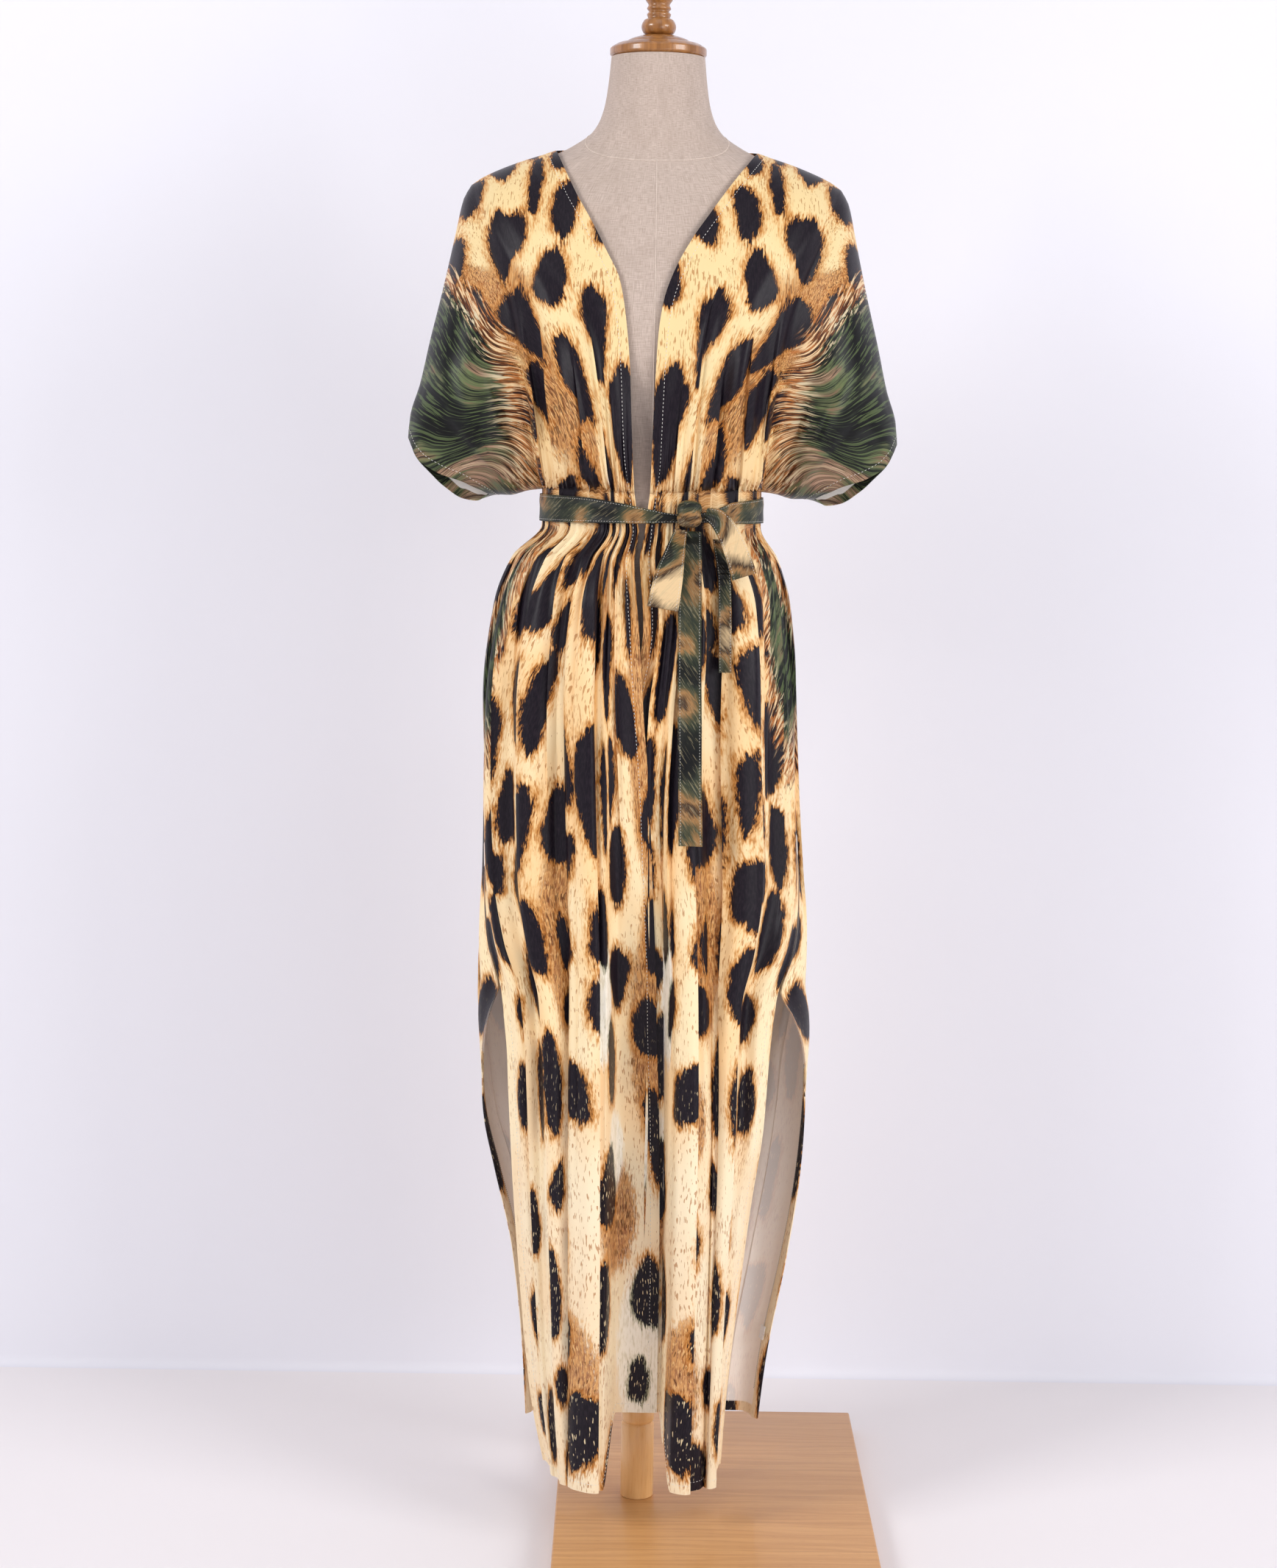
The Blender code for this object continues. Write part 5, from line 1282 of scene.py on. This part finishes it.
def raiseHems(piece, panel):
    # every free edge is turned in and sewn, so a band along it stands a little proud
    points, normals = panel["points"], panel["normals"]
    top, low = panel["top"], panel["low"]
    band = coat["hemBand"]
    raised = np.zeros(len(points))

    def mark(index, arc):
        raised[index] = np.maximum(raised[index], 1 - ease((arc - band) / 0.0018))

    upper, skirt = points[top], points[low]
    mark(top, arcFrom(upper, 1, True))
    mark(low, arcFrom(skirt, 0, True))
    mark(top, arcFrom(upper, 1))
    slit = skirt[..., 2] < sewing["bandTopLeft" if piece == "front_left" else "bandTop"]
    mark(low[slit], arcFrom(skirt, 1, True)[slit])
    if piece == "back":
        mark(low[slit], arcFrom(skirt, 1)[slit])
        neck = np.abs(upper[..., 0]) < shoulderSeam[0][0] - 0.001
        mark(top[neck], arcFrom(upper, 0)[neck])
    else:
        mark(low, arcFrom(skirt, 1))
    setValues(panel["shell"], "hemBand", np.concatenate([raised, raised]))
    lift = normals * (raised * coat["hemRaise"])[:, None]
    mesh = panel["shell"].data
    places = np.empty(len(mesh.vertices) * 3, dtype=np.float32)
    mesh.vertices.foreach_get("co", places)
    places = places.reshape(-1, 3)
    places[:len(points)] += lift
    mesh.vertices.foreach_set("co", places.ravel())
    mesh.update()
    panel["points"] = points + lift


def hemStitches(piece, panel):
    points, normals, top, low = panel["points"], panel["normals"], panel["top"], panel["low"]
    upper, skirt = points[top], points[low]
    upperWays, skirtWays = normals[top], normals[low]
    lines = []

    def sew(grid, ways):
        lines.append(insetLine(grid, ways, sewing["inset"]))

    if piece != "back":
        sew(upper[2:], upperWays[2:])
        sew(skirt[:-sewing["edgeRows"]], skirtWays[:-sewing["edgeRows"]])
        lines = [tuple(np.concatenate(pair) for pair in zip(*lines))]
    sew(np.flip(skirt, 0).swapaxes(0, 1)[5:-5], np.flip(skirtWays, 0).swapaxes(0, 1)[5:-5])
    slitRows = np.flatnonzero(skirt[:, -1, 2] < sewing["slitStitchTop"])[:-sewing["edgeRows"]]
    sew(np.flip(skirt, 1)[slitRows], np.flip(skirtWays, 1)[slitRows])
    sew(np.flip(upper, 1)[1:-1], np.flip(upperWays, 1)[1:-1])
    if piece == "back":
        sew(skirt[slitRows], skirtWays[slitRows])
        sew(upper[1:-1], upperWays[1:-1])
        neck = np.flatnonzero(np.abs(upper[0, :, 0]) < shoulderSeam[0][0] - 0.004)
        sew(upper.swapaxes(0, 1)[neck], upperWays.swapaxes(0, 1)[neck])
    return stitches(piece + "_topstitch", lines, looks["thread"])


def overlock(piece, panel):
    # grey thread inside, where the turned hem of each slit ends
    skirt, ways = panel["points"][panel["low"]], panel["normals"][panel["low"]]
    slitRows = np.flatnonzero(skirt[:, -1, 2] < sewing["slitStitchTop"])[:-sewing["edgeRows"]]
    grids = [(np.flip(skirt, 1), np.flip(ways, 1))] + [(skirt, ways)] * (piece == "back")
    lines = []
    for grid, way in grids:
        for inset in sewing["overlockInsets"]:
            path, out = insetLine(grid[slitRows], way[slitRows], inset)
            lines.append((path - out * (coat["wall"] + 0.0001), -out))
    return stitches(piece + "_overlock", lines, looks["darkThread"], sewing["overlockPitch"],
                    sewing["overlockWidth"])


# the coat: two fronts with the same mirrored print, and the back

coatCut = {
    "front_right": {"flat": (0.47, 1.45), "area": 0.42, "seed": 71},
    "front_left": {"flat": (0.47, 1.45), "area": 0.42, "seed": 71},
    "back": {"flat": (0.94, 1.42), "area": 0.78, "seed": 118},
}
panels = {}
for piece, cut in coatCut.items():
    shell = makePanel(piece, cut["seed"])
    raiseHems(piece, panels[piece])
    sewn = [hemStitches(piece, panels[piece]), overlock(piece, panels[piece])]
print("coat: sewn")


# the belt, its knot, loops and tails

belt = {
    "wall": 0.0012, "packedWall": 0.0024, "ribbon": 0.0016, "width": 0.028, "girth": 0.68,
    "angle": [-180.0, -75.0, -40.0, -18.0, 0.0, 14.0, 30.0, 46.0, 90.0, 180.0],
    "low": [1.0870, 1.0880, 1.0882, 1.0888, 1.0895, 1.0905, 1.0905, 1.0890, 1.0885, 1.0870],
    "top": [1.1165, 1.1160, 1.1150, 1.1100, 1.1030, 1.0985, 1.1010, 1.1110, 1.1150, 1.1165],
    "turns": 340, "across": 12,
}
# middle line of each loop: across, height, half width, opening
smallLoop = [(0.0300, 1.0832, 0.0060, 0.0022), (0.0240, 1.0620, 0.0100, 0.0050),
             (0.0175, 1.0350, 0.0145, 0.0065), (0.0125, 1.0060, 0.0160, 0.0060)]
bigLoop = [(0.0553, 1.1000, 0.0060, 0.0024), (0.0670, 1.0950, 0.0095, 0.0050),
           (0.0800, 1.0770, 0.0115, 0.0070), (0.0890, 1.0560, 0.0125, 0.0070),
           (0.0950, 1.0380, 0.0130, 0.0060)]
# middle line of each tail: across, height, half width
longTail = [(0.0400, 1.0820, 0.0110), (0.0400, 1.0000, 0.0118), (0.0415, 0.9000, 0.0120),
            (0.0445, 0.7630, 0.0120)]
shortTail = [(0.0690, 1.0740, 0.0060), (0.0755, 1.0300, 0.0064), (0.0775, 0.9390, 0.0064)]
bow = {"loopLift": 0.0135, "knotReach": 0.1045, "tailClear": 0.0004, "loopPoints": 128, "tailRows": 110,
       "across": 12, "wall": 0.0010, "stitchPitch": 0.0030, "stitchWidth": 0.0004,
       "knotCentre": (0.0385, 1.0995), "knotHalf": (0.0135, 0.0100, 0.0140), "knotRows": 44, "knotTurns": 72}


def waistPlace(angle, gap, height):
    turn = np.radians(angle)
    halfWidth = planAt(skirtPlan, "halfWidth", coat["beltTop"])
    deep = np.where(np.cos(turn) > 0, planAt(skirtPlan, "front", coat["beltTop"]),
                    planAt(skirtPlan, "back", coat["beltTop"]))
    return np.stack([(halfWidth + gap) * np.sin(turn), -(deep + gap) * np.cos(turn), height], axis=-1)


def ribbonPiece(name, points, look, node, outwards, closed=False, wall=bow["wall"], grow=False,
                startAt=0.0):
    # a strip of satin through a grid of points, rows along it and columns across
    rows, columns = points.shape[:2]
    index = np.arange(rows * columns).reshape(rows, columns)
    if closed:
        index = np.concatenate([index, index[:1]])
    faces = gridQuads(index)
    flatPoints = points.reshape(-1, 3)
    if grow:
        normals = pointNormals(flatPoints, faces)
        if (normals * outwards(flatPoints)).sum() < 0:
            normals = -normals
        flatPoints = flatPoints + normals * wall
    piece, normals = clothShell(name, flatPoints, faces, [looks[look]] * 2, wall, outwards=outwards)
    acrossPlace = arcFrom(points, 1)
    alongPlace = startAt + np.repeat(arcFrom(points, 0)[:, columns // 2][:, None], columns, axis=1)
    place = np.stack([acrossPlace, alongPlace, np.zeros_like(acrossPlace)], axis=-1).reshape(-1, 3)
    setValues(piece, "clothPlace", np.concatenate([place, place]), "FLOAT_VECTOR")
    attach(piece, "root")
    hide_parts(node)
    grid = flatPoints.reshape(rows, columns, 3)
    ways = normals.reshape(rows, columns, 3)
    lines = []
    for end in (1, -2):
        path, way = grid[:, end], ways[:, end]
        if closed:
            path, way = np.concatenate([path, path[:1]]), np.concatenate([way, way[:1]])
        lines.append((path, way))
    sewn = stitches(name + "_edge_stitch", lines, looks["thread"], bow["stitchPitch"], bow["stitchWidth"])
    return piece


angles = np.linspace(-180, 180, belt["turns"], endpoint=False)[:, None]
w = np.linspace(0, 1, belt["across"] + 1)[None, :]
lowEdge, topEdge = curve(belt["angle"], belt["low"], angles), curve(belt["angle"], belt["top"], angles)
folds = (0.5 + 0.5 * np.cos(2 * np.pi * (w * 1.5 + 0.15 * np.sin(np.radians(angles * 2) + 0.8)))) ** 2
near = np.exp(-((angles - 19.0) / 26.0) ** 2)
swell = 0.0005 * folds + 0.0007 * near * (0.5 + 0.5 * np.cos(2 * np.pi * w * 2.5 + np.radians(angles * 5)))
slack = 0.00035 * (1 + ripple(np.radians(angles), w * 2, 3))
rise = lowEdge + (topEdge - lowEdge) * w
standOff = coat["clear"] + belt["wall"] + swell + slack
beltPoints = waistPlace(np.broadcast_to(angles, rise.shape), standOff, rise)
ribbonPiece("belt_band", beltPoints, "belt", "belt_waist",
            lambda p: p * (1, 1, 0), closed=True, wall=belt["wall"])

reachTable = panels["front_left"]["points"][panels["front_left"]["low"]]
reachTable = reachTable[reachTable[:, 0, 2] > 0.70]


def clothFront(across, halfWidth, height):
    # how far forward the left front reaches across a strip, from the belt down to a height
    strip = np.abs(reachTable[..., 0] - across) < halfWidth + 0.004
    below = reachTable[..., 2] >= height - 0.015
    chosen = strip & below
    return float((-reachTable[..., 1])[chosen].max()) if chosen.any() else 0.0


def tailPoints(table, sway, seed):
    rows, w = np.arange(bow["tailRows"] + 1) / bow["tailRows"], np.linspace(-1, 1, bow["across"] + 1)
    across, height, half = along(table, rows)
    reach = np.array([clothFront(a, h, z) for a, h, z in zip(across, half, height)])
    reach = reach + bow["tailClear"] + belt["ribbon"]
    down = rows[:, None]
    crease = sway * (0.5 - 0.5 * np.cos(2 * np.pi * (down * 3.2 + 0.25 * w[None, :]))) * ease(down / 0.12)
    cup = 0.0014 * (w[None, :] ** 2) * np.sin(down * 7.0 + seed) ** 2
    x = across[:, None] + half[:, None] * w[None, :]
    ridge = 0.0006 * np.exp(-((w[None, :] - 0.1) / 0.25) ** 2) * np.sin(down * 11 + seed) ** 2
    y = -(reach[:, None] + crease + cup + ridge)
    z = np.broadcast_to(height[:, None], x.shape)
    return np.stack([x, y, z], axis=-1)


for name, node, table, sway, seed in (("bow_tail_long", "belt_tail_long", longTail, 0.0022, 1),
                                      ("bow_tail_short", "belt_tail_short", shortTail, 0.0016, 4)):
    flat = (2 * table[1][2], table[0][1] - table[-1][1])
    ribbonPiece(name, tailPoints(table, sway, seed), "beltTail", node,
                lambda p: np.tile((0.0, -1.0, 0.0), (len(p), 1)), startAt=0.13 * seed)


def loopPoints(table, standOff, seed):
    # a flattened loop of ribbon that leaves the knot and stands off the skirt
    turn = 2 * np.pi * np.arange(bow["loopPoints"]) / bow["loopPoints"]
    f = (1 - np.cos(turn)) / 2
    across, height, half, opening = along(table, f)
    aheadX, aheadZ = along(table, np.minimum(1.0, f + 0.02))[:2]
    behindX, behindZ = along(table, np.maximum(0.0, f - 0.02))[:2]
    length = np.hypot(aheadX - behindX, aheadZ - behindZ)
    headingX, headingZ = (aheadX - behindX) / length, (aheadZ - behindZ) / length
    stations = np.array(along(table, np.arange(5) / 4))
    base = max(clothFront(*stations[[0, 2, 1], k]) for k in range(5))
    near = np.array([clothFront(a, h, z) for a, h, z in zip(across, half, height)])
    far = near + (base - near) * standOff + bow["loopLift"]
    reach = bow["knotReach"] + (far - bow["knotReach"]) * ease(f / 0.28) - opening * np.sin(turn)
    w = np.linspace(-1, 1, bow["across"] + 1)[None, :]
    pleat = 0.0007 * np.cos(w * 7.0 + seed) * ease((0.55 - f) / 0.5)[:, None]
    curl = 0.0008 * w ** 2 * np.sin(turn * 2 + seed)[:, None]
    x = across[:, None] - (headingZ * half)[:, None] * w
    z = height[:, None] + (headingX * half)[:, None] * w
    y = -(reach[:, None] + pleat * np.sign(-np.sin(turn))[:, None] + curl)
    return np.stack([x, y + np.zeros_like(x), z], axis=-1)


for name, node, table, standOff, flat in (
        ("bow_loop_small", "belt_loop_small", smallLoop, 0.2, (0.026, 0.175)),
        ("bow_loop_large", "belt_loop_large", bigLoop, 0.65, (0.022, 0.190))):
    grid = loopPoints(table, standOff, 2.0)
    middle = grid.reshape(-1, 3).mean(axis=0)
    ribbonPiece(name, grid, "beltLoop", node, lambda p: p - middle, closed=True, grow=True, startAt=0.4)


def makeKnot():
    # a small tight knot whose wrapped folds run round it
    rows, turns = bow["knotRows"], bow["knotTurns"]
    across, height = bow["knotCentre"]
    angle = math.degrees(math.asin(across / planAt(skirtPlan, "halfWidth", coat["beltTop"])))
    back = waistPlace(angle, coat["clear"] + belt["packedWall"], 0.0)[1] - 0.0016
    lean = -np.pi / 2 + np.pi * (np.arange(rows) + 0.5)[:, None] / rows
    turn = 2 * np.pi * np.arange(turns)[None, :] / turns
    wraps = 0.16 * np.abs(np.cos(2.5 * lean + 1.0 * turn)) ** 5
    folds = 1 - wraps - 0.10 * bump(lean - 0.5 * np.sin(turn), 0.20)

    def squared(value, power):
        return np.sign(value) * np.abs(value) ** power

    x = squared(np.cos(turn), 0.75) * np.cos(lean) ** 0.55 * folds
    y = squared(np.sin(turn), 0.80) * np.cos(lean) ** 0.60 * folds
    half = bow["knotHalf"]
    points = np.stack([across + half[0] * x, back - half[1] * (1 - y),
                       height + half[2] * np.sin(lean) + np.zeros_like(x)], axis=-1)
    knot = newMesh("bow_knot", points.reshape(-1, 3), ringFaces(rows, turns), [looks["beltLoop"]])
    place = np.stack([0.012 * turn + 0 * lean, 0.03 * lean + 0 * turn, 0 * turn * lean], axis=-1)
    setValues(knot, "clothPlace", place, "FLOAT_VECTOR")
    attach(knot, "root")
    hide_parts("belt_knot")
    return knot


makeKnot()
print("belt: tied")


# blank label sewn inside the left slit

label = {"part": 0.93, "low": 0.178, "top": 0.194, "halfPart": 0.038, "wall": 0.0004, "gap": 0.0040,
         "stitchPitch": 0.0022, "stitchWidth": 0.0004}


def makeLabel():
    part, height = np.meshgrid(label["part"] + label["halfPart"] * np.linspace(-1, 1, 25),
                               np.linspace(label["low"], label["top"], 21))
    points = skirtPoint("back", part, height)
    turn = np.radians(columnAngle("back", part, height))
    out = np.stack([0.12 * np.sin(turn), 0.17 * np.cos(turn), np.zeros_like(turn)], axis=-1)
    out /= np.linalg.norm(out, axis=-1, keepdims=True)
    curl = 0.0006 * ease((height - label["low"]) / (label["top"] - label["low"]) * -1 + 0.5)
    points = points - out * (coat["packedWall"] + label["gap"] + curl)[..., None]
    rows, columns = part.shape
    faces = gridQuads(np.arange(rows * columns).reshape(rows, columns))
    piece, normals = clothShell("blank_label", points.reshape(-1, 3), faces, [looks["label"]] * 2,
                                label["wall"], outwards=lambda p: -p * (1, 1, 0))
    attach(piece, "root")
    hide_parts("care_label")
    ways = normals.reshape(rows, columns, 3)
    sewn = stitches("label_stitch", [(points[-2], ways[-2])], looks["thread"], label["stitchPitch"],
                    label["stitchWidth"])


makeLabel()
print("label: sewn")


# the dress form's linen body

form = {"turns": 176, "rows": 170, "base": 0.760, "neckTop": 1.566, "bodyRows": 90, "bodyTop": 1.38,
        "neckFront": 1.457, "neckSide": 1.486, "neckBack": 1.490, "seamWidth": 0.0016, "seamProud": 0.0005,
        "ringStations": 160, "seamStations": 150}


def torsoPoint(turn, height):
    turn, height = np.broadcast_arrays(turn, height)
    halfWidth, front, back, power = (planAt(torsoPlan, name, height)
                                     for name in ("halfWidth", "front", "back", "pinch"))
    deep = np.where(np.sin(turn) < 0, -front, back) * np.abs(np.sin(turn)) ** power
    return np.stack([halfWidth * np.cos(turn), deep, height], axis=-1)


def torsoNormal(turn, height):
    step = 1e-4
    around = torsoPoint(turn + step, height) - torsoPoint(turn - step, height)
    up = torsoPoint(turn, height + step) - torsoPoint(turn, height - step)
    normal = np.cross(around, up)
    return normal / np.linalg.norm(normal, axis=-1, keepdims=True)


def makeTorso():
    turn = 2 * np.pi * np.arange(form["turns"])[None, :] / form["turns"]
    body = np.linspace(form["base"], form["bodyTop"], form["bodyRows"], endpoint=False)
    neck = np.linspace(form["bodyTop"], form["neckTop"], form["rows"] - form["bodyRows"])
    height = np.concatenate([body, neck])[:, None]
    points = torsoPoint(turn, height)
    torso = newMesh("linen_torso", points.reshape(-1, 3), ringFaces(*points.shape[:2]), [looks["linen"]],
                    smoothAngle=50)
    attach(torso, "root")
    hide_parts("form_torso")


def seamTape(name, turn, height, closed=False):
    # a narrow raised seam that follows the body
    centre, normal = torsoPoint(turn, height), torsoNormal(turn, height)
    heading = np.gradient(centre, axis=0)
    if closed:
        heading = (np.roll(centre, -1, axis=0) - np.roll(centre, 1, axis=0)) / 2
    beside = np.cross(heading / np.linalg.norm(heading, axis=1, keepdims=True), normal)
    shape = [(-0.5, -0.2), (-0.35, 0.75), (0.0, 1.0), (0.35, 0.75), (0.5, -0.2)]
    rows = [centre + beside * form["seamWidth"] * a + normal * form["seamProud"] * b for a, b in shape]
    points = np.stack(rows, axis=1)
    count, wide = points.shape[:2]
    index = np.arange(count * wide).reshape(count, wide)
    index = np.concatenate([index, index[:, :1]], axis=1)
    if closed:
        index = np.concatenate([index, index[:1]])
    faces = gridQuads(index, True).tolist()
    if not closed:
        faces += [tuple(index[0, :-1][::-1]), tuple(index[-1, :-1])]
    tape = newMesh(name, points.reshape(-1, 3), faces, [looks["seamTape"]])
    bm = bmesh.new()
    bm.from_mesh(tape.data)
    bmesh.ops.recalc_face_normals(bm, faces=bm.faces)
    bm.to_mesh(tape.data)
    bm.free()
    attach(tape, "root")


makeTorso()
ring = 2 * np.pi * np.arange(form["ringStations"]) / form["ringStations"]
neckDrop = (form["neckFront"] - form["neckSide"]) * np.clip(-np.sin(ring), 0, 1) ** 1.6
neckLift = (form["neckBack"] - form["neckSide"]) * np.clip(np.sin(ring), 0, 1)
seamTape("neck_seam", ring, form["neckSide"] + np.where(np.sin(ring) < 0, neckDrop, neckLift), True)
for name, way, neckEnd in (("front_seam", -np.pi / 2, "neckFront"), ("back_seam", np.pi / 2, "neckBack")):
    heights = np.linspace(form["base"] + 0.002, form[neckEnd], form["seamStations"])
    seamTape(name, np.full(form["seamStations"], way), heights)
print("dress form: made")


# turned wood and the board, modelled from primitives

def startPiece():
    if bpy.context.object is not None and bpy.context.object.mode != "OBJECT":
        bpy.ops.object.mode_set(mode="OBJECT")
    bpy.ops.object.select_all(action="DESELECT")


def finishPiece(name, look, node, smoothAngle=35):
    piece = bpy.context.object
    bpy.ops.object.transform_apply(location=True, rotation=True, scale=True)
    piece.name = name
    piece.data.name = name
    piece.data.materials.clear()
    piece.data.materials.append(looks[look])
    bpy.ops.object.shade_smooth_by_angle(angle=math.radians(smoothAngle))
    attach(piece, "root")
    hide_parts(node)
    return piece


turnedPieces = {
    "turned_cap": {"node": "neck_cap", "look": "capWood", "segments": 96, "steps": 60, "profile": [
        (0.0470, 1.5663), (0.0500, 1.5690), (0.0500, 1.5740), (0.0470, 1.5770), (0.0400, 1.5800),
        (0.0380, 1.5790), (0.0300, 1.5840), (0.0200, 1.5875)]},
    "turned_finial": {"node": "finial", "look": "capWood", "segments": 64, "steps": 110, "profile": [
        (0.0100, 1.5878), (0.0160, 1.5910), (0.0180, 1.5970), (0.0155, 1.6035), (0.0115, 1.6065),
        (0.0125, 1.6095), (0.0105, 1.6125), (0.0125, 1.6155), (0.0110, 1.6190), (0.0140, 1.6245),
        (0.0120, 1.6285), (0.0165, 1.6350), (0.0195, 1.6440), (0.0180, 1.6540), (0.0120, 1.6620),
        (0.0050, 1.6655)]},
    "turned_pole": {"node": "pole", "look": "poleWood", "segments": 72, "steps": 0, "profile": [
        (0.0176, 0.0223), (0.0180, 0.0230), (0.0180, 0.1030), (0.0176, 0.1042), (0.0160, 0.1060),
        (0.0176, 0.1078), (0.0180, 0.1090), (0.0180, 0.1210), (0.0176, 0.1222), (0.0160, 0.1240),
        (0.0176, 0.1258), (0.0180, 0.1270), (0.0180, 0.7597)]},
}


def turnPiece(name, cut):
    # a disc drawn up ring by ring, as on a lathe
    startPiece()
    radius, height = np.array(cut["profile"]).T
    if cut["steps"]:
        radius, height = along(cut["profile"], np.linspace(0, 1, cut["steps"]))
    bpy.ops.mesh.primitive_circle_add(vertices=cut["segments"], radius=radius[0], fill_type="NGON",
                                      location=(0, 0, height[0]))
    bpy.ops.object.mode_set(mode="EDIT")
    for k in range(1, len(radius)):
        rise = height[k] - height[k - 1]
        bpy.ops.mesh.extrude_region_move(TRANSFORM_OT_translate={"value": (0, 0, rise)})
        scale = radius[k] / radius[k - 1]
        bpy.ops.transform.resize(value=(scale, scale, 1), center_override=(0, 0, height[k]))
    bpy.ops.mesh.select_all(action="SELECT")
    bpy.ops.mesh.normals_make_consistent(inside=False)
    bpy.ops.object.mode_set(mode="OBJECT")
    return finishPiece(name, cut["look"], cut["node"])


for name, cut in turnedPieces.items():
    turnPiece(name, cut)

board = {"left": -0.088, "right": 0.2535, "halfDepth": 0.273, "top": 0.022, "edge": 0.0022}


def makeBoard():
    startPiece()
    middle = ((board["left"] + board["right"]) / 2, 0, board["top"] / 2)
    size = (board["right"] - board["left"], 2 * board["halfDepth"], board["top"])
    bpy.ops.mesh.primitive_cube_add(size=1, location=middle, scale=size)
    bpy.ops.object.transform_apply(location=False, rotation=False, scale=True)
    bpy.ops.object.mode_set(mode="EDIT")
    bpy.ops.mesh.select_all(action="SELECT")
    bpy.ops.mesh.bevel(offset=board["edge"], segments=4, profile=0.5)
    bpy.ops.object.mode_set(mode="OBJECT")
    finishPiece("planked_board", "boardWood", "base_board")


makeBoard()
print("stand: turned and planed")


# studio: pale floor and wall, soft lights, the photograph's camera

studio = {"wall": 0.47, "cove": 0.012, "reach": 9.0, "floor": "EAE5E6", "back": "E6E5EC",
          "aim": (0, 0, 0.9), "air": (0.93, 0.93, 1.0, 1.0), "airPower": 0.50,
          "lens": 65.04, "sensor": 36, "camera": (-0.0094, -3.0, 1.178), "tilt": 7.01, "turn": 0.85}


def backdropLook(name, code, oneSided=False):
    material, tree, shader = newLook(name, Roughness=0.9, Specular_IOR_Level=0.1)
    cloud = noise(tree, put(tree, "TexCoord").outputs["Object"], 1.6, 2.0)
    tone = blendColour(tree, calc(tree, "MULTIPLY", cloud, 0.05), shade(code), shade("D8D7DE"))
    tree.links.new(tone, shader.inputs["Base Color"])
    if oneSided:
        # seen from behind, the wall is clear
        behind = put(tree, "NewGeometry").outputs["Backfacing"]
        clear = put(tree, "BsdfTransparent").outputs[0]
        mixed = put(tree, "MixShader", {0: behind, 1: shader.outputs[0], 2: clear})
        tree.links.new(mixed.outputs[0], tree.nodes["Material Output"].inputs["Surface"])
    return material


def makeStudio():
    reach, wall, cove = studio["reach"], studio["wall"], studio["cove"]
    profile = [(-reach, 0.0), (wall - cove, 0.0)]
    profile += [(wall - cove * (1 - math.sin(a)), cove * (1 - math.cos(a))) for a in (0.4, 0.8, 1.2)]
    profile += [(wall, cove), (wall, reach)]
    points = [(x, y, z - 0.0005) for y, z in profile for x in (-reach, reach)]
    faces = [(2 * k, 2 * k + 1, 2 * k + 3, 2 * k + 2) for k in range(len(profile) - 1)]
    index = [0 if k == 0 else 1 for k in range(len(faces))]
    paints = [backdropLook("floorPaint", studio["floor"]), backdropLook("wallPaint", studio["back"], True)]
    backdrop = newMesh("studio_backdrop", points, faces, paints, index)


lights = [
    {"name": "key", "place": (-2.8, -2.1, 2.5), "size": 1.2, "power": 68},
    {"name": "fill", "place": (2.9, -2.2, 1.9), "size": 1.5, "power": 64},
    {"name": "top", "place": (0.0, -1.6, 3.4), "size": 1.6, "power": 8},
    {"name": "low", "place": (1.5, -2.8, 0.5), "size": 1.2, "power": 12},
]


def makeLights():
    for lamp in lights:
        data = bpy.data.lights.new(lamp["name"], "AREA")
        data.energy, data.size = lamp["power"], lamp["size"]
        thing = bpy.data.objects.new(lamp["name"], data)
        thing.location = lamp["place"]
        towards = Vector(studio["aim"]) - Vector(lamp["place"])
        thing.rotation_euler = towards.to_track_quat("-Z", "Y").to_euler()
        bpy.context.scene.collection.objects.link(thing)
    world = bpy.data.worlds.new("studio")
    world.use_nodes = True
    feed(world.node_tree, world.node_tree.nodes["Background"], {"Color": studio["air"],
                                                                "Strength": studio["airPower"]})
    bpy.context.scene.world = world
    bpy.context.scene.view_settings.view_transform = "Standard"


def makeCamera():
    data = bpy.data.cameras.new("photographer")
    data.lens, data.sensor_fit, data.sensor_height = studio["lens"], "VERTICAL", studio["sensor"]
    camera = bpy.data.objects.new("photographer", data)
    camera.location = studio["camera"]
    tilt = Matrix.Rotation(math.radians(90 - studio["tilt"]), 4, "X")
    camera.rotation_euler = (tilt @ Matrix.Rotation(math.radians(studio["turn"]), 4, "Z")).to_euler()
    bpy.context.scene.collection.objects.link(camera)
    bpy.context.scene.camera = camera


makeStudio()
makeLights()
makeCamera()
print("studio: lit")
